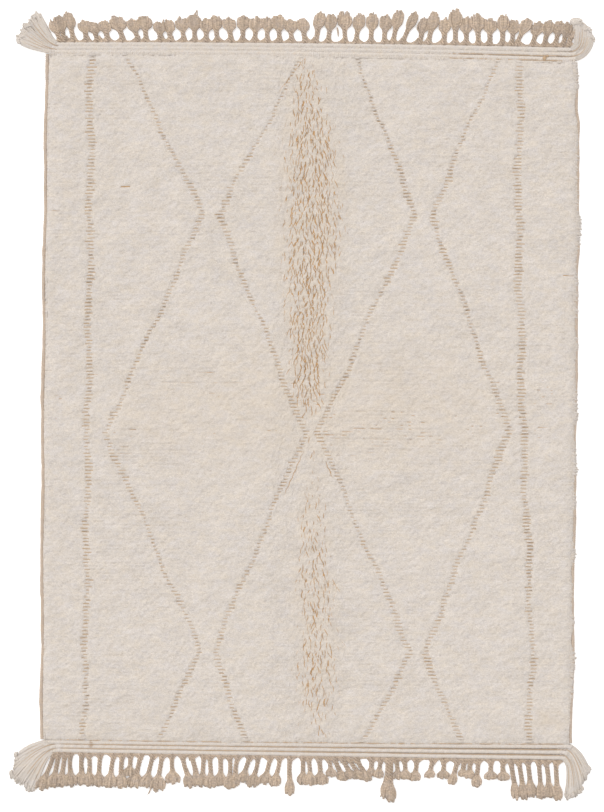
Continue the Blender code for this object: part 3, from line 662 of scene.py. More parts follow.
def yarn_material(name, groups, tones, dark, tan):
    """Spun wool yarn: mottled, a little lighter or darker from yarn to yarn, with its plies."""
    bench, shader = wool_material(name, 0.93, 0.10)
    look, dark, tan = YARN_LOOKS[name], (*dark, 1), (*tan, 1)
    looks = {"Patch Size": look.patch, "Fleck Size": look.fleck, "Fleck Strength": look.flecks}
    wool = mottled(bench, groups, tones, looks)
    tone, wind = bench.attribute("tone")["Fac"], bench.attribute("wind")["Vector"]
    plies = bench.group(groups["plies"], {"Wind": wind, "Pitch": look.pitch})
    locks = {"Fibre Width": look.fleck * 0.75, "Fibre Length": look.fleck * 1.25, "Wave": 0.008}
    fibres = bench.group(groups["fibres"], locks)
    colour = bench.mix(bench.math("MULTIPLY", plies["Groove"], look.ply_shade), wool, dark)
    colour = bench.mix(bench.math("MULTIPLY", fibres["Shade"], 0.30), colour, dark)
    # Darker towards a yarn's sides and underside: painted shade.
    flank = bench.add("ShaderNodeSeparateXYZ", {0: wind}).outputs[1]
    colour = bench.mix(bench.ramp(flank, 0.80, -0.10, look.crease), colour, dark)
    spots = bench.noise(bench.vector("MULTIPLY", bench.place(), (120.0, 300.0, 120.0)), 1.0, 1.0)
    colour = bench.mix(bench.ramp(spots, 0.58, 0.74, look.specks), colour, tan)
    shade = bench.math("MULTIPLY", bench.math("MAXIMUM", tone, TAN_TONE * 0.7), 0.09)
    toned = bench.scale(colour, bench.math("ADD", 1.0, shade))
    # Yarns of the tan tone take the tan colour: tan warps and stains in the ivory yarn, and in the warp yarn the
    # dark cores of the strands, painted shade.
    colour = bench.mix(bench.ramp(tone, TAN_TONE * 0.72, TAN_TONE * 0.95), toned, tan)
    fine = bench.math("MULTIPLY", fibres["Height"], 0.8)
    finish(bench, shader, colour, bench.math("ADD", plies["Height"], fine), look.relief, 0.8)


def ground_material(groups, colours):
    """The ground weave: tan warps and wefts, over and under."""
    bench, shader = wool_material("tan_ground_weave", 0.95, 0.05)
    axes = bench.add("ShaderNodeSeparateXYZ", {0: bench.place()}).outputs
    across = bench.math("SINE", bench.math("MULTIPLY", axes[0], math.pi / 0.0045))
    along = bench.math("SINE", bench.math("MULTIPLY", axes[1], math.pi / 0.0049))
    weave = bench.math("MULTIPLY", across, along)
    looks = {"Patch Size": 0.02, "Fleck Size": 0.004}
    wool = mottled(bench, groups, (colours.ground, colours.tan, colours.tan_grey), looks)
    # Darker where the yarns dip under one another: painted shade.
    colour = bench.mix(bench.ramp(weave, 0.1, -0.6, 0.35), wool, (*colours.tan_shade, 1))
    finish(bench, shader, colour, weave, 0.0012, 0.6)


def rug_materials():
    """The rug's five finishes, made once."""
    if "ivory_pile_wool" not in bpy.data.materials:
        colours = bpy.context.scene.rug_colours
        groups = {"mottled": mottled_wool_group(), "fibres": fibre_group(), "plies": ply_group()}
        ivory = (colours.ivory, colours.warm_ivory, colours.cool_ivory)
        tan = (colours.tan, colours.tan_warm, colours.tan_grey)
        wrap = (colours.wrap, colours.tan, colours.tan_grey)
        pile_material(groups, colours)
        yarn_material("ivory_yarn", groups, ivory, colours.cord_shade, colours.cord_line)
        # The warp yarn's tan colour is its tan shade, painted shade on the strands' dark cores.
        yarn_material("tan_warp_yarn", groups, tan, colours.tan_shade, colours.tan_shade)
        yarn_material("tan_wrap_yarn", groups, wrap, colours.tan_shade, colours.sunk)
        ground_material(groups, colours)
    return bpy.data.materials


# ---------------------------------------------------------------- the pile

ROWS_A_KNOT = 3  # modelled rows for each row of knots: the valley, its rise and its crest


def bar_length(index, y):
    """Length of a lattice line's yarn bars at Y, eased from one run of the table to the next."""
    runs = [run for run in reversed(BAR_RUNS) if run.line == index]
    middles = [(run.top + run.bottom) / 2 * MM for run in runs]
    return np.interp(y, middles, [run.bar * MM for run in runs])


def column_shares(sizes):
    """Shares across the field, close together where the pile has opened and at the rims."""
    width = 2 * HALF_WIDTH - 0.003
    open_half, rim = 0.11, 0.008
    stops = [0.0]
    while stops[-1] < width:
        from_rim = min(stops[-1], width - stops[-1])
        fine = abs(stops[-1] - width / 2) < open_half or from_rim < rim
        stops.append(stops[-1] + (sizes.fine_column if fine else sizes.column))
    return np.array(stops) / stops[-1]


def lumps(x, y):
    """The broad lumps of the pile, as in the solid."""
    flat = list(zip(x.ravel().tolist(), y.ravel().tolist()))
    lump = [noise.noise((a / LUMP_SIZE, b / LUMP_SIZE, SEED)) for a, b in flat]
    swell = [noise.noise((a / SWELL_SIZE, b / SWELL_SIZE, SWELL_SEED)) for a, b in flat]
    return PILE_TOP + LUMP_HEIGHT * (np.array(lump) + np.array(swell)).reshape(x.shape)


def open_pile_at(y):
    """The opened pile's axis, half width and strength at Y."""
    stops = np.array(OPEN_PILE)[::-1] * (MM, MM, MM, 1.0)
    return (np.interp(y, stops[:, 0], stops[:, column]) for column in (1, 2, 3))


def open_share(x, y):
    """How far the pile has opened at each place, from 0 to 1."""
    axis, half, strength = open_pile_at(y)
    ragged = 0.25 * wool_noise(x, y, 0.03, 0.05, 23)
    return strength * ease(1.45 + ragged - np.abs(x - axis) / half)


def slit_strokes(sizes, rng):
    """Short wavy partings that run down the opened pile: X, Y and a strength for each."""
    step = 0.0035
    strokes = []
    for line in PARTED_LINES:
        ys = np.arange(line.from_y, line.to_y, -3.5) * MM
        xs = np.interp(ys, (line.to_y * MM, line.from_y * MM), (line.to_x * MM, line.from_x * MM))
        strokes.append((xs + 0.0012 * np.sin(np.arange(ys.size) * 0.9), ys, 0.85))
    widest = max(item.half for item in OPEN_PILE) * MM * 1.3
    for lane in np.arange(-widest, widest, sizes.slit_gap):
        y = HALF_LENGTH + rng.uniform(-0.03, 0.0)
        while y > -HALF_LENGTH + 0.02:
            length = rng.uniform(0.009, 0.027)
            axis, half, strength = open_pile_at(y)
            aside = lane / max(half, 0.004)
            count = max(3, int(length / step))
            ys = y - np.linspace(0, length, count)
            phase = rng.uniform(*ANY_PHASE)
            wave = 0.0024 * np.sin(phase + np.arange(count) * rng.uniform(0.45, 1.0))
            splay = 0.22 * np.clip(aside, -1.2, 1.2)
            lean = rng.uniform(-0.22, 0.22) - splay * rng.uniform(0.0, 1.6)
            xs = axis + lane + rng.uniform(-0.0042, 0.0042) + wave + lean * (ys - y)
            chance = strength * float(ease(1.30 - abs(aside)))
            if rng.uniform() < chance * 1.05:
                inner = 1.04 - 0.24 * min(1.0, aside * aside)
                strokes.append((xs, ys, rng.uniform(0.64, 1.24) * (0.66 + 0.42 * chance) * inner))
            y -= length * 0.95 + rng.uniform(-0.003, 0.007)
    return strokes


def sink_slits(x, y, z, bare, sizes, rng):
    """Draws the nearest points of each row onto a parting, and sinks and bares them."""
    rows = x.shape[0]
    row_y = y[:, x.shape[1] // 2]
    lip = 0.0004
    for xs, ys, strength in slit_strokes(sizes, rng):
        first = max(2, np.searchsorted(row_y, ys[-1]))
        last = min(rows - 2, np.searchsorted(row_y, ys[0]))
        for row in range(first, last):
            at = np.interp(row_y[row], ys[::-1], xs[::-1])
            column = int(np.abs(x[row] - at).argmin())
            from_end = min(row - first + 0.5, last - row - 0.5) / max(1, last - first)
            taper = min(1.0, 0.5 + 1.6 * from_end)
            x[row, column] = at
            z[row, column] -= sizes.slit_depth * strength * strength * taper
            bare[row, column] = max(bare[row, column], min(1.0, 1.1 * strength * taper))
            z[row, column - 1] += lip * strength
            z[row, column + 1] += lip * strength
    return x, z, bare


def scuff_pile(x, y, z, bare):
    """Flecks where the ground shows through worn or badly closed pile."""
    spots = wool_noise(x, y, 0.0040, 0.0034, 24) + 0.35 * wool_noise(x, y, 0.014, 0.010, 25)
    for mark in SCUFFED:
        inside = mark.strength * ease(1.4 - away_from(mark, x, y))
        here = ease((spots + 0.8 * inside - 0.95) / 0.7) * inside
        bare = np.maximum(bare, 0.40 * here)
        z = z - 0.0014 * here
    return z, bare


def crack_rows(x, y, z, bare):
    """Lets the pile part here and there between two rows of knots."""
    knot_rows = np.arange(ROWS_A_KNOT, x.shape[0] - ROWS_A_KNOT, ROWS_A_KNOT)
    middle = x.shape[1] // 2
    for crack in ROW_CRACKS:
        left, right = crack.left * MM, crack.right * MM
        column = int(np.abs(x[middle] - (crack.left + crack.right) / 2 * MM).argmin())
        row = knot_rows[np.abs(y[knot_rows, column] - crack.y * MM).argmin()]
        broken = 0.5 + 0.5 * wool_noise(x[row], y[row], 0.016, 1.0, 70 + row)
        inside = ease((x[row] - left) / 0.006) * ease((right - x[row]) / 0.006)
        bare[row] = np.maximum(bare[row], inside * crack.strength * (0.35 + 0.75 * broken))
        z[row] -= 0.0030 * inside * crack.strength
    for row in knot_rows:
        worn = 0.35 + 0.65 * ease(1 - np.abs(y[row] + 0.04) / 0.30)
        fine = wool_noise(x[row], y[row], 0.012, 1.0, 400 + row)
        broad = wool_noise(x[row], y[row], 0.060, 0.05, 31)
        here = ease((fine + 0.75 * broad - 0.74) / 0.5) * worn
        bare[row] = np.maximum(bare[row], 0.68 * here)
        z[row] -= 0.0018 * here
    return z, bare


def row_relief(x, y, phase, sizes):
    """Height and shade of the rows of knots, strong in places and hardly there in others."""
    crest = np.array((-0.62, 0.20, 0.42))[phase][:, None]
    fine, broad = wool_noise(x, y, 0.022, 0.0095, 14), wool_noise(x, y, 0.14, 0.09, 15)
    relief = np.clip(0.30 + 0.65 * fine + 0.40 * broad, 0.0, 1.3)
    return crest * relief * sizes.row_relief, (phase == 0)[:, None] * relief


def tuft_relief(x, y, sizes, rng):
    """Height of single tufts and the locks they lie in."""
    single = wool_noise(x, y, 0.0078, 0.0086, 16)
    lock = wool_noise(x, y, 0.030, 0.011, 17)
    grain = rng.uniform(-1, 1, x.shape)
    return sizes.tuft_relief * (0.42 * single + 0.22 * lock + 0.30 * grain)


def sink_lattice(x, y, z, bare, phase, sizes, rng):
    """Sinks the lattice lines, and bares the ground between their bars of yarn."""
    rows, sunk = x.shape[0], np.zeros_like(x)
    between = np.array((1.0, 0.62, 0.62))[phase][:, None]
    shown = np.array((1.0, 0.0, 0.0))[phase][:, None]
    inside = ease((np.minimum(y - y[:1], y[-1:] - y) - 0.006) / 0.008)
    stagger = 0.0014 * np.where(np.arange(rows) // ROWS_A_KNOT % 2, 1, -1)
    for index in range(len(LATTICE)):
        broken = wool_noise(index, y, 1.0, 0.021, 44) + 0.4 * wool_noise(index, y, 1.0, 0.0098, 45)
        uneven = rng.uniform(-1, 1, (rows // ROWS_A_KNOT + 1, 2))
        uneven = np.repeat(uneven, ROWS_A_KNOT, axis=0)[:rows]
        offset = stagger + 0.0018 * uneven[:, 0]
        half = bar_length(index, y) / 2 * (0.92 + 0.12 * broken + 0.30 * uneven[:, 1:])
        ragged = 0.0012 * wool_noise(x, y, 0.02, 0.0098, 50 + index)
        away = np.abs(x - line_x(index, y) - offset[:, None]) - half - ragged
        run, rise = np.gradient(line_x(index, y[:, :1]), axis=0), np.gradient(y[:, :1], axis=0)
        least = 0.80 if index in OUTER_LINES else 0.77
        weak = 0.86 + 0.35 * broken - 0.26 * np.minimum(np.abs(run / rise), 1)
        weak = np.clip(weak, least, 1.0)
        depth = sizes.groove_depth * inside * between * (0.30 + 0.70 * weak)
        z = z - depth * ease(0.5 - away / 0.0040)
        sunk = np.maximum(sunk, inside * shown * weak * ease(0.70 - away / 0.0034))
    return z, np.maximum(bare, sunk), sunk


def pile_surface(sizes):
    """The pile's upper side: its points, and how each is shaded, bared, yellowed and sunk."""
    rng = np.random.default_rng(SEED)
    knot_rows = round(2 * HALF_LENGTH / sizes.knot_row)
    v = np.linspace(0, 1, ROWS_A_KNOT * knot_rows + 1)[:, None]
    x, y = field_place(column_shares(sizes)[None, :], v)
    side_rim, end_rim = np.minimum(x - x[:, :1], x[:, -1:] - x), np.minimum(y - y[:1], y[-1:] - y)
    inner = ease(np.minimum(side_rim, end_rim) / 0.010)
    broad, fine = wool_noise(x, y, 0.10, 0.07, 11), wool_noise(x, y, 0.02, 0.012, 9)
    y = y + (0.0016 * broad + 0.0007 * fine) * inner
    x = x + (0.0013 * wool_noise(x, y, 0.008, 0.010, 12)) * (1 - 0.5 * inner)
    y = y + 0.0012 * wool_noise(x, y, 0.012, 0.009, 13) * (1 - inner)

    phase = np.arange(v.size) % ROWS_A_KNOT
    rows_high, valley = row_relief(x, y, phase, sizes)
    z = lumps(x, y) + rows_high + tuft_relief(x, y, sizes, rng)
    opened = open_share(x, y)
    ruffle = wool_noise(x, y, 0.0068, 0.013, 18) + 0.6 * wool_noise(x, y, 0.014, 0.024, 19)
    z += opened * sizes.ruffle * ruffle
    valley = valley * (1 - opened) + opened * ease(-ruffle)
    x, z, bare = sink_slits(x, y, z, np.zeros_like(x), sizes, rng)
    z, bare = crack_rows(x, y, z, bare)
    z, bare = scuff_pile(x, y, z, bare)
    z, bare, sunk = sink_lattice(x, y, z, bare, phase, sizes, rng)
    for depth, width, away in ((0.0054, 0.018, side_rim), (0.0056, 0.034, end_rim)):
        z -= depth * (1 - np.clip(away / width, 0, 1)) ** 2

    yellow = 0.55 * opened
    for mark in YELLOWED:
        yellow = np.maximum(yellow, mark.strength * ease(1.25 - away_from(mark, x, y)))
    yellow *= 0.75 + 0.5 * wool_noise(x, y, 0.02, 0.012, 21)
    return places(x, y, z), np.stack((valley, bare, np.clip(yellow, 0, 1), sunk), -1)


def grid_triangles(z):
    """Splits the squares of a grid along their lower diagonal, so that partings stay open."""
    index = np.arange(z.size).reshape(z.shape)
    a, b, c, d = index[:-1, :-1], index[:-1, 1:], index[1:, 1:], index[1:, :-1]
    rising = (z[:-1, :-1] + z[1:, 1:] <= z[:-1, 1:] + z[1:, :-1])[..., None]
    first = np.where(rising, np.stack((a, b, c), -1), np.stack((a, b, d), -1))
    second = np.where(rising, np.stack((a, c, d), -1), np.stack((b, c, d), -1))
    return np.concatenate((first.reshape(-1, 3), second.reshape(-1, 3)))


def grid_normals(points):
    return unit(np.cross(np.gradient(points, axis=1), np.gradient(points, axis=0)))


def closed_course(points, normals, marks, floor):
    """Closes one course of a grid with walls and an underside at this height."""
    rows, columns = points.shape[:2]
    index = np.arange(rows * columns).reshape(rows, columns)
    ring = np.concatenate((index[0], index[1:, -1], index[-1, -2::-1], index[-2:0:-1, 0]))
    feet = rows * columns + np.arange(len(ring))
    next_ring, next_feet = np.roll(ring, -1), np.roll(feet, -1)
    front, back = feet[:columns], feet[columns + rows - 2 : 2 * columns + rows - 2][::-1]
    right = feet[columns - 1 : columns + rows - 1]
    left = np.concatenate((feet[:1], feet[: -(rows - 1) : -1], back[:1]))
    sheets = (
        (ring, feet, next_feet),
        (ring, next_feet, next_ring),
        (front[:-1], back[:-1], back[1:]),
        (front[:-1], back[1:], front[1:]),
    )
    fans = [(right[0], right[k + 1], right[k]) for k in range(1, rows - 1)]
    fans += [(left[0], left[k], left[k + 1]) for k in range(1, rows - 1)]
    sheets = [np.stack(corners, -1) for corners in sheets]
    triangles = np.concatenate((grid_triangles(points[..., 2]), *sheets, np.array(fans)))

    points, normals, marks = points.reshape(-1, 3), normals.reshape(-1, 3), marks.reshape(-1, 4)
    foot = places(points[ring, 0], points[ring, 1], floor)
    outward = unit(normals[ring] * (1, 1, 0) + (0, 0, -0.02))
    everything = ((points, foot), (normals, outward), (marks, marks[ring]))
    return triangles, *(np.concatenate(both) for both in everything)


def map_from_above(mesh, points):
    """A flat map seen from above, in the UV layer named OFBake."""
    layer = mesh.uv_layers.new(name="OFBake")
    low, size = points.min(0)[:2], np.ptp(points[:, :2], axis=0).max()
    corners = np.empty(len(mesh.loops), np.int32)
    mesh.loops.foreach_get("vertex_index", corners)
    spots = ((points[:, :2] - low) / size)[corners]
    layer.data.foreach_set("uv", spots.astype(np.float32).ravel())


def make_pile(sizes, material):
    """The knotted pile, in courses."""
    points, marks = pile_surface(sizes)
    normals = grid_normals(points)
    cuts = np.linspace(0, points.shape[0] - 1, sizes.courses + 1).astype(int)
    for number, (first, last) in enumerate(zip(cuts, cuts[1:]), 1):
        span = slice(first, last + 1)
        course = (points[span], normals[span], marks[span])
        triangles, co, normal, mark = closed_course(*course, sizes.ground + GAP)
        name = f"pile_course_{number}"
        mesh = mesh_from(name, co, triangles)
        add_attribute(mesh, "marks", "FLOAT_COLOR", mark)
        map_from_above(mesh, co)
        mesh.normals_split_custom_set_from_vertices(normal.tolist())
        add_piece(name, mesh, material, "ivory_pile", "rug_field")


# ---------------------------------------------------------------- bars, tufts, selvedges


def knot_row_places(sizes):
    """Shares along the field of the middle of each row of knots."""
    count = round(2 * HALF_LENGTH / sizes.knot_row)
    return (np.arange(count) + 0.5) / count


def make_bars(sizes, material):
    """The flat-woven bars of yarn that bridge the sunk lattice lines."""
    rng = np.random.default_rng(SEED + 1)
    yarns = Yarns()
    rows = knot_row_places(sizes)
    steps = np.linspace(-1, 1, 6)
    tucked_in, stagger = 0.0070, 0.0011
    for index, line in enumerate(LATTICE):
        middle = np.full(rows.size, float(line.middle) * MM)
        for _ in range(3):
            low, high = pile_ends(middle)
            y = low + (high - low) * rows
            middle = line_x(index, y)
        shift = 0.0016 * wool_noise(middle, y, 0.10, 0.07, 11)
        length = bar_length(index, y) * rng.uniform(0.95, 1.1, rows.size) + tucked_in
        aside = np.where(np.arange(rows.size) % 2, 1.0, -1.0) * stagger
        aside = aside + rng.uniform(-0.0008, 0.0008, rows.size)
        bow = rng.uniform(-0.0009, 0.0009, rows.size)
        turn = rng.uniform(-0.0012, 0.0012, rows.size)
        crown = PILE_TOP - 0.0036 + rng.uniform(-0.0007, 0.0005, rows.size)
        x = (middle + aside)[:, None] + steps * length[:, None] / 2
        y = (y + shift)[:, None] + bow[:, None] * (1 - steps**2) + turn[:, None] * steps
        z = crown[:, None] - 0.0034 * np.abs(steps) ** 3
        thick = sizes.bar_radius * (1 - 0.42 * np.abs(steps) ** 4)
        radii = thick[None, :] * rng.uniform(0.9, 1.08, (rows.size, 1))
        yarns.add(places(x, y, z), radii, 5, rng.uniform(-1, 1, rows.size))
    yarns.add_piece("lattice_bars", material, "ivory_pile", "rug_field")


def rim_places(sizes, side):
    """Where tufts root along one rim, with the way out of the pile."""
    sign = -1.0 if side in ("left", "bottom") else 1.0
    rim = 0.0 if side in ("left", "bottom") else 1.0
    if side in ("left", "right"):
        v = np.repeat(knot_row_places(sizes), 2)
        v = v + np.where(np.arange(v.size) % 2, 0.25, -0.25) / (v.size / 2)
        return *field_place(np.full(v.size, rim), v), np.array((sign, 0.0, 0.0))
    count = round(2 * HALF_WIDTH / sizes.knot_width * 1.5)
    u = (np.arange(count) + 0.5) / count
    return *field_place(u, np.full(count, rim)), np.array((0.0, sign, 0.0))


def make_tufts(sizes, material):
    """The outermost knots, which lean out over the selvedges and the end cords."""
    rng = np.random.default_rng(SEED + 2)
    yarns = Yarns()
    share = np.linspace(0, 1, 4)
    root_depth, thick, side_lean = 0.0065, 0.0034, 0.0040
    reaches = {
        "left": sizes.tuft_reach_left,
        "right": sizes.tuft_reach_right,
        "bottom": sizes.tuft_reach_ends,
        "top": sizes.tuft_reach_ends * 1.5,
    }
    for side, usual in reaches.items():
        x, y, outward = rim_places(sizes, side)
        across = np.array((outward[1], -outward[0], 0.0))
        lean = side_lean if side in ("left", "right") else 0.0
        lean = lean + rng.uniform(-0.0022, 0.0022, x.size)
        reach = usual * (0.85 + 0.75 * wool_noise(x, y, 0.05, 0.05, 51))
        reach = reach * rng.uniform(0.6, 1.25, x.size)
        if side == "right":
            reach *= 1 - 0.85 * ease((-0.930 - y) / 0.02)
        root = places(x, y, 0.0) - outward * root_depth
        path = root[:, None, :] + outward * ((root_depth + reach)[:, None, None] * share[:, None])
        path = path + across * (lean[:, None, None] * (share**1.5)[:, None])
        lift = rng.uniform(-0.0004, 0.0004, x.size)
        path[..., 2] = 0.0110 + lift[:, None] - 0.0026 * share**1.5
        radii = thick * (0.80 + 0.35 * np.sin(math.pi * share) - 0.30 * share**4)
        radii = radii[None, :] * rng.uniform(0.85, 1.2, (x.size, 1))
        yarns.add(path, radii, 5, rng.uniform(-0.5, 0.5, x.size), 0.8)
    yarns.add_piece("rim_tufts", material, "ivory_pile", "rug_field")


def make_selvedge(side, sizes, material):
    """The edge warps with tan yarn wrapped round them."""
    u, outward, seed = (0.0, -1, SEED + 3) if side == "left" else (1.0, 1, SEED + 4)
    rng = np.random.default_rng(seed)
    rings = int(2 * HALF_LENGTH / (sizes.wrap_pitch / 3))
    x, y = field_place(np.full(rings, u), np.linspace(0.0005, 0.9995, rings))
    half = SELVEDGE_WIDTH / 2
    slow, quick = wool_noise(x, y, 1.0, 0.06, 61), wool_noise(x, y, 1.0, 0.02, 63)
    middle = x + outward * (half - GAP) + 0.0016 * slow + 0.0006 * quick
    swell = np.array((0.90, 1.05, 1.0))[np.arange(rings) % 3] * (1 + 0.06 * rng.uniform(-1, 1, rings))
    radius = half * 1.20 * swell * (1 + 0.16 * wool_noise(x, y, 1.0, 0.035, 62))
    yarns = Yarns()
    yarns.add(places(middle, y, SELVEDGE_HEIGHT * 0.70), radius, 9, 0.0, 0.86)
    yarns.add_piece(f"wrapped_selvedge_{side}", material, "tan_wrap", f"selvedge_{side}")


# ---------------------------------------------------------------- end cords

BRUSH_START = 0.12  # where along its bend a cord opens
STAINED_ROW = 2  # the cord that the stained fibres lie over


def twist(route, plies, pitch, side_radius, up_radius, phase):
    """Paths of plies wound round a route: (plies, points, 3)."""
    side = np.cross(unit(np.gradient(route, axis=0)), UP)
    along = length_along(route)
    wound = []
    for ply in range(plies):
        angle = TURN * (along / pitch + ply / plies) + phase
        aside, lift = np.cos(angle) * side_radius, np.sin(angle) * up_radius
        wound.append(route + side * aside[:, None] + UP * lift[:, None])
    return np.array(wound)


def resample(points, spacing):
    """The same route with even steps of about this length."""
    along = length_along(points)
    even = np.linspace(0, along[-1], max(4, int(along[-1] / spacing)))
    return np.stack([np.interp(even, along, points[:, axis]) for axis in range(3)], -1)


def cord_route(end, row):
    """The middle of one twined cord, from where it opens at the left to where it does at the right."""
    left, right = cord_ends(end, row)
    bend = np.linspace(0, BRUSH_START + 0.12, 12)
    x = np.linspace(*straight_run(end, row), 200)[1:-1]
    straight = places(x, cord_y(end, row, x), 0.0)
    return np.concatenate((bend_points(left, bend)[::-1], straight, bend_points(right, bend)))


def brush_lines(cord_end, shares, width):
    """The middle of a free end and its sides: half way to the next cord, or its own width."""
    mates = [item for item in CORD_ENDS if (item.end, item.side) == (cord_end.end, cord_end.side)]
    middle = bend_points(cord_end, shares)
    half = width / 2 + (cord_end.spread * MM - width) / 2 * ease((shares - 0.2) / 0.7)
    sides = []
    for towards in (-1, 1):
        if 1 <= cord_end.row + towards <= CORD_ROWS:
            mate = mates[cord_end.row + towards - 1]
            sides.append((middle + bend_points(mate, shares)) / 2)
        else:
            mate = mates[cord_end.row - towards - 1]
            sides.append(middle + unit(middle - bend_points(mate, shares)) * half[:, None])
    return middle, sides


def brush_path(cord_end, shares, place, width, wave=0.0):
    """A line through a free end at this place, from -1 at one side to 1 at the other."""
    middle, sides = brush_lines(cord_end, shares, width)
    return middle + (sides[int(place > 0)] - middle) * (abs(place) + wave)


def add_brush(yarns, cord_end, rng, width):
    """A cord's free end: its yarns part and fill the corner, as far as a blunt frayed tip."""
    step = np.linspace(0, 1, 11)
    phase = rng.uniform(*ANY_PHASE)
    for count, lift in ((11, 0.0040), (13, 0.0066)):
        for number in range(count):
            place = -1 + 2 * number / (count - 1) + rng.uniform(-0.06, 0.06)
            place = np.clip(place, -1, 1)
            outermost = cord_end.row == (CORD_ROWS if place > 0 else 1)
            dome = (0.10 if outermost else 0.02) * place * place
            reach = 1.0 - dome + 0.020 * math.sin(7 * place + phase) + rng.uniform(-0.012, 0.012)
            shares = BRUSH_START + (reach - BRUSH_START) * step
            curl = rng.uniform(*ANY_PHASE)
            wave = 0.0011 * np.sin(curl + np.arange(step.size) * rng.uniform(0.4, 1.0)) * step
            path = brush_path(cord_end, shares, place, width, wave[:, None] / width)
            path[:, 2] = lift + rng.uniform(-0.0005, 0.0005) - 0.0012 * step**2
            radius = (0.0022 + 0.0012 * ease(step * 1.6)) * (1 - 0.22 * step**10)
            radius = radius * rng.uniform(0.88, 1.15)
            yarns.add(path, radius, 5, rng.uniform(-0.9, 1.3), 0.95)


def add_tip_locks(yarns, cord_end, rng):
    """Short locks that splay over the blunt tip of a free end."""
    before, tip = bend_points(cord_end, [0.90, 1.0])
    ahead = unit(tip - before)
    aside = np.array((-ahead[1], ahead[0], 0.0))
    step = np.linspace(0, 1, 4)[:, None]
    for _ in range(20):
        place = rng.uniform(-0.9, 0.9)
        first = tip + aside * place * cord_end.spread * MM * 0.50
        first = first - ahead * (0.012 + 0.012 * place * place)
        turn = ahead + aside * (0.45 * place + rng.uniform(-0.20, 0.20))
        path = first + turn * step * rng.uniform(0.007, 0.012)
        path[:, 2] = rng.uniform(0.0040, 0.0078) - 0.0012 * step[:, 0]
        radius = 0.0032 * (1 - 0.25 * step[:, 0] ** 2)
        yarns.add(path, radius, 5, rng.uniform(-0.6, 1.3), 0.95)


# Lines of tan warps that show in a free end: where along the bend they start and stop, where they
# lie between its sides, and half their width
Parting = namedtuple("Parting", "start stop place radius")
OWN_PARTINGS = (Parting(0.34, 0.86, -0.45, 0.0008), Parting(0.45, 0.90, 0.35, 0.0008))
NEXT_PARTINGS = (Parting(0.02, 0.55, 1.0, 0.0011), Parting(0.30, 0.92, 0.96, 0.0011))


def add_partings(yarns, cord_end, rng, width):
    """Tan warps that show as thin lines within a free end, and between one and the next."""
    for line in OWN_PARTINGS + (NEXT_PARTINGS if cord_end.row < CORD_ROWS else ()):
        start, stop = line.start + rng.uniform(0, 0.06), line.stop - rng.uniform(0, 0.10)
        shares = np.linspace(start, stop, 9)
        path = brush_path(cord_end, shares, line.place, width)
        path[:, 2] = 0.0100 - 0.0016 * shares
        radius = line.radius * np.sin(np.linspace(0.35, math.pi - 0.35, shares.size))
        yarns.add(path, radius, 5, TAN_TONE, 0.8)


def add_curl(yarns, cord_end, rng):
    """The curled-up tip of one cord, wound into a ball."""
    tip = bend_points(cord_end, [1.0])[0]
    turns = np.linspace(0, TURN, 17)
    coils = ((0.0140, 0.0075, 0.0056, 0.0052), (0.0085, 0.0040, 0.0050, 0.0078))
    for wide, deep, thick, lift in coils:
        x, y = tip[0] + wide * np.cos(turns), tip[1] - 0.004 + deep * np.sin(turns)
        path = places(x, y, lift + 0.0010 * np.sin(turns * 2 + 1))
        yarns.add(path, thick, 7, rng.uniform(0, 1), 0.9)
    middle = tip + [(-0.0075, -0.004, 0.0090), (0.0, -0.0035, 0.0094), (0.0075, -0.004, 0.0090)]
    yarns.add(middle, 0.0034, 6, rng.uniform(0, 1), 0.9)


def add_stitches(yarns, end, row, width, rng):
    """Short turns of weft that close the groove between a cord and the next one, or the pile."""
    x = np.arange(-0.715, 0.715, 0.0066)
    x = x + rng.uniform(-0.003, 0.003, x.size)
    open_right = end == "top" and row > 1
    closed = 0.94 - 0.80 * ease((x - 0.38) / 0.08) if open_right else 0.97
    x = x[rng.uniform(size=x.size) < closed]
    length = rng.uniform(0.009, 0.017, x.size)
    y = cord_y(end, row, x) - ENDS[end].outward * width / 2 + rng.uniform(-0.0012, 0.0012, x.size)
    slant = rng.uniform(-0.0012, 0.0012, x.size)
    crown = 0.0064 + 0.0012 * row + rng.uniform(-0.0004, 0.0006, x.size)
    steps = np.linspace(-1, 1, 5)
    path_x = x[:, None] + steps * length[:, None] / 2
    path_y = y[:, None] + steps * slant[:, None]
    radius = 0.0030 * (1 - 0.40 * steps**4) * rng.uniform(0.85, 1.15, (x.size, 1))
    path = places(path_x, path_y, crown[:, None] - 0.0014 * steps**2)
    yarns.add(path, radius, 4, rng.uniform(-0.1, 1.1, x.size), 0.85)


def add_groove_line(yarns, end, row, width, rng):
    """The tan warps that show as one thin, broken line beside a cord."""
    left, right = (0.40 if end == "top" else -0.72), 0.745
    x = np.linspace(left, right, int((right - left) / 0.0040))
    stray = 0.0007 * wool_noise(x, x, 0.02, 1.0, 90 + row)
    y = cord_y(end, row, x) - ENDS[end].outward * width / 2 + stray
    shown = wool_noise(x, x, 0.014, 1.0, 95 + row)
    swing = 0.0013 if row == CORD_ROWS else 0.0004
    z = 0.0082 + 0.0012 * row + swing * shown - 0.0034 * ease((x - 0.725) / 0.02)
    radius = 0.0010 * (1 + 0.30 * shown + 0.15 * rng.uniform(-1, 1, x.size))
    yarns.add(places(x, y, z), radius, 5, TAN_TONE, 0.9)


def add_stain(yarns, stain, rng):
    """A few stained fibres that lie over the cords."""
    steps = np.linspace(-1, 1, 4)
    for share in np.linspace(-1, 1, 5):
        half = stain.half_width * MM * (1 - 0.45 * share * share) * rng.uniform(0.8, 1.1)
        x = stain.x * MM + steps * half + rng.uniform(-0.001, 0.001)
        y = stain.y * MM + share * stain.half_length * MM + 0.0008 * steps
        radius = 0.0024 * stain.strength * (1 - 0.4 * steps**2)
        yarns.add(places(x, y, 0.0126 - 0.0012 * steps**2), radius, 5, TAN_TONE, 0.7)


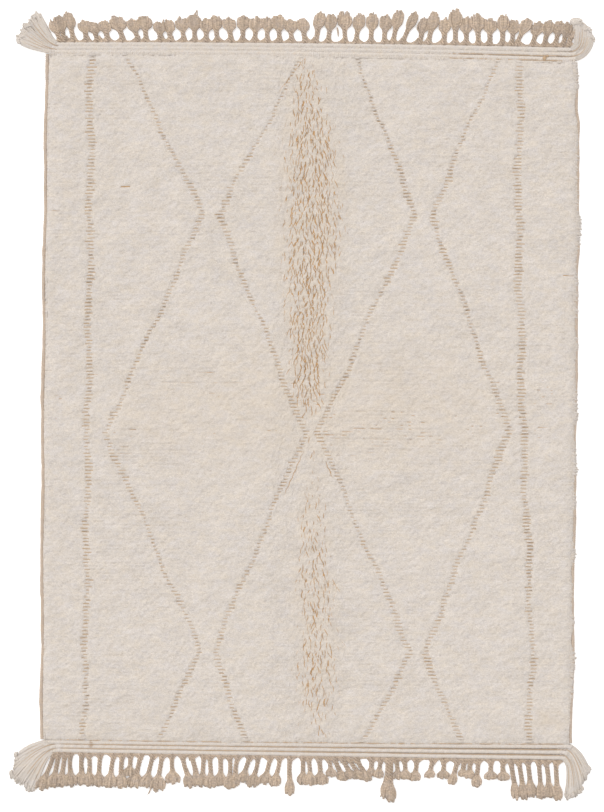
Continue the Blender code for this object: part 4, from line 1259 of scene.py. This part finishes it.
def make_end_cord(end, row, sizes, material):
    """One cord of two ivory yarns twined across an end, its free ends opened into brushes."""
    rng = np.random.default_rng(SEED + 10 * row + (100 if end == "top" else 200))
    width = cord_width(end)
    ply = width * (0.50 if end == "top" else 0.495)
    route = resample(cord_route(end, row), sizes.cord_step)
    route[:, 2] = 0.0038 + 0.0012 * row
    route[:, 1] += 0.0004 * wool_noise(route[:, 0], route[:, 1], 0.03, 1.0, 80 + row)
    paths = twist(route, 2, sizes.cord_pitch, width * 0.14, 0.0008, row * 1.3)
    uneven = 1 + 0.05 * rng.uniform(-1, 1, route.shape[0])
    yarns = Yarns()
    yarns.add(paths, ply * uneven, 6, rng.uniform(0.3, 1.0, 2), 0.63)
    if end == "top" or row == CORD_ROWS:
        add_stitches(yarns, end, row, width, rng)
    if end == "bottom" or row > 1:
        add_groove_line(yarns, end, row, width, rng)
    for stain in CORD_STAINS:
        if row == STAINED_ROW and (stain.y > 0) == (end == "top"):
            add_stain(yarns, stain, rng)
    for cord_end in cord_ends(end, row):
        add_brush(yarns, cord_end, rng, width)
        add_tip_locks(yarns, cord_end, rng)
        add_partings(yarns, cord_end, rng, width)
        if (end, row, cord_end.side) == ("top", 1, "right"):
            add_curl(yarns, cord_end, rng)
    yarns.add_piece(f"twined_{end}_{row}", material, "ivory_cord", f"end_cord_{end}_{row}")


# ---------------------------------------------------------------- fringes

# How the strands of one end are spun: as shares of their length, where the head starts and is
# full and how far its tip is domed, and how much wider it is than its table says
Fringe = namedtuple("Fringe", "strands band outward head_start head_full dome swell")
FRINGES = {
    "top": Fringe(TOP_STRANDS, *ENDS["top"][1:], 0.42, 0.64, 0.13, 1.06),
    "bottom": Fringe(BOTTOM_STRANDS, *ENDS["bottom"][1:], 0.58, 0.80, 0.05, 1.12),
}
DARKEST_WARP = -2.0  # tones are held above this, so that no warp is as dark as a core
STRAND_SETBACK = 0.0045


def lean_x(strand, shares):
    """X along a strand, which leans from its root to its tip."""
    lean = 0.35 * shares + 0.65 * ease(shares)
    return (strand.root + (strand.tip - strand.root) * lean) * MM


def add_body(yarns, fringe, strand, base_y, body, tone, rng):
    """The twisted part of a strand, from its feet on the root line into its head."""
    stop = fringe.head_full - 0.04
    length = strand.length * MM
    shares = np.linspace(0, stop, max(8, int(length * stop / 0.0033)))
    sway = rng.uniform(-0.0020, 0.0020) * np.sin(math.pi * shares / stop)
    y = base_y + fringe.outward * (length * shares - STRAND_SETBACK)
    route = places(lean_x(strand, shares) + sway, y, 0.0050)
    paths = twist(route, 3, 0.0265, body * 0.320, 0.0030, rng.uniform(*ANY_PHASE))
    plump = 1 + 0.20 * ease((0.16 - shares) / 0.16) + 0.14 * ease((shares - fringe.head_start) / 0.3)
    shade = np.maximum(tone + rng.uniform(-0.7, 1.1, 3), DARKEST_WARP)
    yarns.add(paths, body * 0.178 * plump, 5, shade, 0.95)
    # A dark core yarn along the route, in the tan shade: painted shade between the plies.
    yarns.add(route, body * 0.26 * plump, 4, TAN_TONE, 0.85)
    foot = np.linspace(0, 1, 5)
    favoured = rng.choice((-1, 1))
    for side in (-1, 1):
        for spread in (0.0175, 0.0095):
            spread *= rng.uniform(0.8, 1.2) if side == favoured else rng.uniform(0.35, 0.75)
            x = strand.root * MM + side * (spread * (1 - foot) ** 1.8 + body * 0.20)
            y = base_y + fringe.outward * (0.0165 * foot - 0.0030)
            shade = tone + rng.uniform(-0.8, 0.8)
            yarns.add(places(x, y, 0.0036 + 0.0014 * foot), 0.0030 + 0.0008 * foot, 5, shade, 0.95)


def add_head(yarns, fringe, strand, base_y, body, lift, tone, rng):
    """The tousled end of a strand: a soft core, and warps that spread over it like a mushroom."""
    start = fringe.head_start - 0.12
    opening = fringe.head_full - fringe.head_start
    length, half_head = strand.length * MM, strand.head * MM * fringe.swell / 2
    core = np.linspace(start, 0.95 - fringe.dome * 0.4, 7)
    grown = ease((core - fringe.head_start) / opening)
    radius = body * 0.40 * (1 - grown) + half_head * 0.84 * grown
    y = base_y + fringe.outward * (length * core - STRAND_SETBACK)
    path = places(lean_x(strand, core), y, 0.0046 + lift * grown)
    shade = tone + rng.uniform(-0.2, 0.4)
    yarns.add(path, radius * (1, 1, 1, 1, 1, 0.94, 0.70), 10, shade, 0.0050 / half_head)

    step = np.linspace(0, 1, 7)
    lopsided, phase = rng.uniform(-0.08, 0.08), rng.uniform(*ANY_PHASE)
    scallop = rng.uniform(0.01, 0.04)
    emerge = ease(step * 2.0)
    count = 9
    for number in range(count):
        place = -1 + 2 * number / (count - 1) + lopsided + rng.uniform(-0.08, 0.08)
        ragged = scallop * math.sin(6 * place + phase) + rng.uniform(-0.02, 0.02)
        reach = 1 - fringe.dome * place * place + ragged
        shares = start + (reach - start) * step
        spread = ease((shares - fringe.head_start) / opening)
        curl = rng.uniform(-0.0012, 0.0012) * np.sin(step * rng.uniform(2, 5))
        half = body * 0.30 * (1 - spread) + (half_head - 0.0030) * spread
        x = lean_x(strand, shares) + place * half * (1 - 0.07 * step**6) + curl
        y = base_y + fringe.outward * (length * shares - STRAND_SETBACK)
        z = 0.0044 + lift * emerge + rng.uniform(0.0016, 0.0034) * emerge - 0.0012 * step**2
        radius = (0.0013 + 0.0024 * emerge) * (1 - 0.22 * step**8) * rng.uniform(0.80, 1.2)
        shade = max(tone + rng.uniform(-1.5, 1.3), DARKEST_WARP)
        yarns.add(places(x, y, z), radius, 5, shade, 0.95)


def add_root_line(yarns, fringe, end, rng):
    """The narrow line of warps between the band and the strands."""
    start, stop = straight_run(end, 1)
    x = np.linspace(start - 0.006, stop + 0.006, 420)
    y = edge_y(fringe.band, x) + fringe.outward * STRIP_WIDTH * 0.42
    radius = 0.0031 * (1 + 0.16 * rng.uniform(-1, 1, x.size))
    yarns.add(places(x, y, 0.0046), radius, 6, 0.0, 1.05)


def add_strays(yarns, fringe, rng):
    """Loose warps that stray past the heads."""
    step = np.linspace(0, 1, 7)[:, None]
    for stray in STRAY_WARPS:
        if stray.from_y * fringe.outward > 0:
            first = np.array((stray.from_x * MM, stray.from_y * MM, 0.0066))
            last = np.array((stray.to_x * MM, stray.to_y * MM, 0.0036))
            for _ in range(3):
                bow = rng.uniform(-0.0026, 0.0026)
                path = first + (last - first) * step * rng.uniform(0.86, 1.0)
                path[:, 0] += bow * np.sin(math.pi * step[:, 0]) + rng.uniform(-0.0016, 0.0016)
                radius = 0.0018 * (1 - 0.45 * step[:, 0])
                yarns.add(path, radius, 5, rng.uniform(-0.5, 0.8), 0.95)


def make_fringe(end, usual_body, seed, material):
    """The twisted warps of one end, on the line where they leave the cords."""
    fringe = FRINGES[end]
    rng = np.random.default_rng(seed)
    yarns = Yarns()
    add_root_line(yarns, fringe, end, rng)
    for number, strand in enumerate(fringe.strands):
        base_y = edge_y(fringe.band, strand.root * MM) + fringe.outward * STRIP_WIDTH
        body = usual_body * rng.uniform(0.94, 1.08)
        lift = 0.0020 * (number % 2) + rng.uniform(-0.0004, 0.0004)
        # Strands in a shaded stretch get a lower tone: painted shade where they overlap.
        shaded = (item for item in SHADED_STRETCHES if item.end == end)
        tone = sum(item.tone for item in shaded if item.left <= strand.root <= item.right)
        tone += rng.uniform(-0.4, 0.4)
        add_body(yarns, fringe, strand, base_y, body, tone, rng)
        add_head(yarns, fringe, strand, base_y, body, lift, tone, rng)
    add_strays(yarns, fringe, rng)
    yarns.add_piece(f"twisted_fringe_{end}", material, "tan_warp", f"fringe_{end}")


# ---------------------------------------------------------------- ground weave and stage


def make_ground(sizes, material):
    """The flat ground weave under the pile and the end cords, one closed sheet."""
    columns, rows = 56, 76
    v = np.linspace(0, 1, rows + 1)[:, None]
    x, _ = field_place(np.linspace(0, 1, columns + 1)[None, :], v)
    tuck = 0.0015 + 0.040 * ease((np.abs(x + 0.008) - 0.690) / 0.045)
    low, high = edge_y(ENDS["bottom"].band, x) + tuck, edge_y(ENDS["top"].band, x) - tuck
    y = low + (high - low) * v
    pile_low, pile_high = pile_ends(x)
    inside = ease((y - pile_low) / 0.004 + 0.5) * ease((pile_high - y) / 0.004 + 0.5)
    under_cords = np.where(y > 0, 0.0066, 0.0056)
    points = places(x, y, under_cords + (sizes.ground - under_cords) * inside)
    no_marks = np.zeros((rows + 1, columns + 1, 4))
    triangles, co, _, _ = closed_course(points, grid_normals(points), no_marks, 0.0)
    mesh = mesh_from("ground_weave", co, triangles)
    mesh.set_sharp_from_angle(angle=math.radians(40))
    map_from_above(mesh, co)
    return add_piece("ground_weave", mesh, material, "tan_warp", "rug_field")


def make_floor(stage):
    """The pale studio floor, a hair below the rug."""
    half, drop = stage.floor_size / 2, -0.0004
    corners = [(-half, -half, drop), (half, -half, drop), (half, half, drop), (-half, half, drop)]
    mesh = mesh_from("studio_floor", corners, np.array([(0, 1, 2), (0, 2, 3)]))
    material = bpy.data.materials.new("studio_floor")
    material.use_nodes = True
    shader = material.node_tree.nodes["Principled BSDF"]
    shader.inputs["Base Color"].default_value = (*stage.floor_colour, 1)
    shader.inputs["Roughness"].default_value = 0.9
    shader.inputs["Specular IOR Level"].default_value = 0.1
    shader.inputs["Emission Color"].default_value = (1.0, 1.0, 1.0, 1.0)
    shader.inputs["Emission Strength"].default_value = stage.floor_glow
    mesh.materials.append(material)
    floor = add_object("studio_floor", mesh)


def make_light(stage):
    """One broad soft lamp from the upper left, and even light from all round."""
    light = bpy.data.lights.new("key_light", "SUN")
    light.angle = math.radians(50)
    light.energy = stage.key
    lamp = add_object("key_light", light)
    lamp.location = (-1.5, 1.5, 3.0)
    lamp.rotation_euler = (math.radians(-30), math.radians(-26), 0.0)
    world = bpy.data.worlds.new("even_sky")
    world.use_nodes = True
    sky = world.node_tree.nodes["Background"]
    sky.inputs["Color"].default_value = (1.0, 1.0, 1.0, 1.0)
    sky.inputs["Strength"].default_value = stage.sky
    bpy.context.scene.world = world


def make_camera(stage):
    camera = bpy.data.cameras.new("photo_camera")
    camera.lens = stage.lens
    camera.sensor_width = SENSOR
    distance = stage.view_length * stage.lens / SENSOR
    camera.clip_end = distance * 4
    holder = add_object("photo_camera", camera)
    holder.location = (stage.view_x, stage.view_y, distance)
    bpy.context.scene.camera = holder


# ---------------------------------------------------------------- properties


def length_setting(name, description, default):
    return FloatProperty(
        name=name, description=description, default=default, min=0.0, precision=4, unit="LENGTH"
    )


def level_setting(name, description, default, least=0.0):
    return FloatProperty(name=name, description=description, default=default, min=least)


def place_setting(name, description, default):
    return FloatProperty(name=name, description=description, default=default, unit="LENGTH")


def colour_setting(name, description, default):
    return FloatVectorProperty(
        name=name, description=description, default=default, min=0.0, max=1.0, subtype="COLOR"
    )


class RugPileSizes(bpy.types.PropertyGroup):
    knot_row: length_setting("Knot row", "Length of rug that one row of knots takes", 0.0098)
    knot_width: length_setting("Knot width", "Width of one knot", 0.0085)
    column: length_setting("Column", "Step between the pile's modelled columns", 0.0045)
    fine_column: length_setting("Fine column", "The same step where the pile has opened", 0.0020)
    courses: IntProperty(
        name="Courses", description="Meshes that the pile is made in", default=4, min=3, max=8
    )
    ground: length_setting("Ground", "Thickness of the ground weave", 0.0040)
    row_relief: length_setting("Row relief", "Depth between two rows of knots", 0.0017)
    tuft_relief: length_setting("Tuft relief", "Height of single tufts", 0.0034)
    ruffle: length_setting("Ruffle", "Height of the opened pile's ruffles", 0.0010)
    slit_gap: length_setting("Slit gap", "Step from one parting of the opened pile to the next", 0.0062)
    slit_depth: length_setting("Slit depth", "Depth of the partings", 0.0018)
    groove_depth: length_setting("Groove depth", "Depth of the sunk lattice lines", 0.0034)
    bar_radius: length_setting("Bar radius", "Half the thickness of the lattice's bars", 0.0033)
    tuft_reach_left: length_setting("Tuft reach, left", "How far tufts lean over the left selvedge", 0.0008)
    tuft_reach_right: length_setting("Tuft reach, right", "How far tufts lean over the right selvedge", 0.0100)
    tuft_reach_ends: length_setting("Tuft reach, ends", "How far tufts lean over the end cords", 0.0048)


class RugEdgeSizes(bpy.types.PropertyGroup):
    wrap_pitch: length_setting("Wrap pitch", "Step from one turn of the wrapped yarn to the next", 0.0060)
    cord_step: length_setting("Cord step", "Step between a cord's modelled sections", 0.0034)
    cord_pitch: length_setting("Cord pitch", "Length of one full twist of an end cord", 0.0200)
    top_body: length_setting("Top strands", "Width of a fringe strand at the top end", 0.0160)
    bottom_body: length_setting("Bottom strands", "Width of a fringe strand at the bottom end", 0.0152)


class RugColours(bpy.types.PropertyGroup):
    ivory: colour_setting("Ivory", "Wool of the pile", (0.664, 0.600, 0.542))
    warm_ivory: colour_setting("Warm ivory", "Its warmer patches", (0.678, 0.604, 0.528))
    cool_ivory: colour_setting("Cool ivory", "Its cooler patches", (0.660, 0.604, 0.563))
    yellowed: colour_setting("Yellowed", "Pile that has yellowed", (0.670, 0.565, 0.445))
    pile_shade: colour_setting("Pile shade", "Shade between the knots", (0.500, 0.420, 0.345))
    sunk: colour_setting("Sunk", "Ground that shows along the lattice", (0.515, 0.375, 0.250))
    cord_line: colour_setting("Cord line", "Warps that show between and within the cords", (0.610, 0.430, 0.275))
    parted: colour_setting("Parted", "Ground that shows where the pile parts", (0.515, 0.310, 0.150))
    cord_shade: colour_setting("Cord shade", "Shade between ivory plies", (0.520, 0.430, 0.340))
    tan: colour_setting("Tan", "Warp yarn of the fringe", (0.622, 0.492, 0.382))
    tan_warm: colour_setting("Warm tan", "Its warmer patches", (0.665, 0.521, 0.388))
    tan_grey: colour_setting("Grey tan", "Its greyer patches", (0.578, 0.471, 0.389))
    tan_shade: colour_setting("Tan shade", "Shade between tan plies", (0.340, 0.245, 0.180))
    wrap: colour_setting("Wrap", "Yarn wrapped round the sides", (0.620, 0.500, 0.400))
    ground: colour_setting("Ground", "Ground weave", (0.560, 0.425, 0.300))


class RugStage(bpy.types.PropertyGroup):
    floor_size: length_setting("Floor", "Side of the studio floor", 14.0)
    floor_colour: colour_setting("Floor colour", "Pale studio floor", (0.97, 0.97, 0.97))
    floor_glow: level_setting("Floor glow", "Light from under the floor", 0.34)
    lens: level_setting("Lens", "Focal length in millimetres", 120.0, least=10.0)
    view_length: length_setting("View length", "Length of floor that the view takes in", 2.344)
    view_x: place_setting("View X", "Middle of the view across the rug", -0.0231)
    view_y: place_setting("View Y", "Middle of the view along the rug", -0.0260)
    sky: level_setting("Sky", "Strength of the even light from all round", 0.80)
    key: level_setting("Key", "Strength of the soft light from the upper left", 1.35)


# ---------------------------------------------------------------- operators


class RUG_OT_pile(bpy.types.Operator):
    """Knot the ivory pile with its sunk lattice, in courses"""

    bl_idname = "rug.pile"
    bl_label = "Knot the pile"

    def execute(self, context):
        make_pile(context.scene.rug_pile, rug_materials()["ivory_pile_wool"])
        return {"FINISHED"}


class RUG_OT_bars(bpy.types.Operator):
    """Lay the yarn bars across the lattice lines"""

    bl_idname = "rug.bars"
    bl_label = "Lay the lattice bars"

    def execute(self, context):
        make_bars(context.scene.rug_pile, rug_materials()["ivory_yarn"])
        return {"FINISHED"}


class RUG_OT_tufts(bpy.types.Operator):
    """Lean the outermost tufts over the rug's edges"""

    bl_idname = "rug.tufts"
    bl_label = "Lean out the rim tufts"

    def execute(self, context):
        make_tufts(context.scene.rug_pile, rug_materials()["ivory_yarn"])
        return {"FINISHED"}


class RUG_OT_selvedges(bpy.types.Operator):
    """Wrap the edge warps of both long sides"""

    bl_idname = "rug.selvedges"
    bl_label = "Wrap the selvedges"

    def execute(self, context):
        for side in ("left", "right"):
            make_selvedge(side, context.scene.rug_edges, rug_materials()["tan_wrap_yarn"])
        return {"FINISHED"}


class RUG_OT_end_cords(bpy.types.Operator):
    """Twine three cords across each end and open their free ends"""

    bl_idname = "rug.end_cords"
    bl_label = "Twine the end cords"

    def execute(self, context):
        for end in ENDS:
            for row in range(1, CORD_ROWS + 1):
                make_end_cord(end, row, context.scene.rug_edges, rug_materials()["ivory_yarn"])
        return {"FINISHED"}


class RUG_OT_fringes(bpy.types.Operator):
    """Twist the warps of both ends into fringes"""

    bl_idname = "rug.fringes"
    bl_label = "Twist the fringes"

    def execute(self, context):
        sizes, material = context.scene.rug_edges, rug_materials()["tan_warp_yarn"]
        make_fringe("top", sizes.top_body, SEED + 21, material)
        make_fringe("bottom", sizes.bottom_body, SEED + 22, material)
        return {"FINISHED"}


class RUG_OT_ground(bpy.types.Operator):
    bl_idname = "rug.ground"
    bl_label = "Weave the ground"

    def execute(self, context):
        ground = make_ground(context.scene.rug_pile, rug_materials()["tan_ground_weave"])
        return {"FINISHED"}


class RUG_OT_stage(bpy.types.Operator):
    """Set up the pale floor, the soft light and the camera straight above"""

    bl_idname = "rug.stage"
    bl_label = "Set the stage"

    def execute(self, context):
        make_floor(context.scene.rug_stage)
        make_light(context.scene.rug_stage)
        make_camera(context.scene.rug_stage)
        context.scene.view_settings.view_transform = "Standard"
        return {"FINISHED"}


OPERATORS = (
    RUG_OT_pile,
    RUG_OT_bars,
    RUG_OT_tufts,
    RUG_OT_selvedges,
    RUG_OT_end_cords,
    RUG_OT_fringes,
    RUG_OT_ground,
    RUG_OT_stage,
)


class RUG_PT_panel(bpy.types.Panel):
    """Steps that make the rug, in order"""

    bl_idname = "RUG_PT_panel"
    bl_label = "Ivory lattice rug"
    bl_space_type = "VIEW_3D"
    bl_region_type = "UI"
    bl_category = "Rug"

    def draw(self, context):
        for operator in OPERATORS:
            self.layout.operator(operator.bl_idname)


GROUPS = {
    "rug_pile": RugPileSizes,
    "rug_edges": RugEdgeSizes,
    "rug_colours": RugColours,
    "rug_stage": RugStage,
}


def register():
    for name, group in GROUPS.items():
        bpy.utils.register_class(group)
        setattr(bpy.types.Scene, name, PointerProperty(type=group))
    for operator in (*OPERATORS, RUG_PT_panel):
        bpy.utils.register_class(operator)


def unregister():
    for operator in (RUG_PT_panel, *reversed(OPERATORS)):
        bpy.utils.unregister_class(operator)
    for name, group in reversed(GROUPS.items()):
        delattr(bpy.types.Scene, name)
        bpy.utils.unregister_class(group)


def main():
    register()
    bpy.ops.rug.pile()
    bpy.ops.rug.bars()
    bpy.ops.rug.tufts()
    bpy.ops.rug.selvedges()
    bpy.ops.rug.end_cords()
    bpy.ops.rug.fringes()
    bpy.ops.rug.ground()
    bpy.ops.rug.stage()


if __name__ == "__main__":
    main()
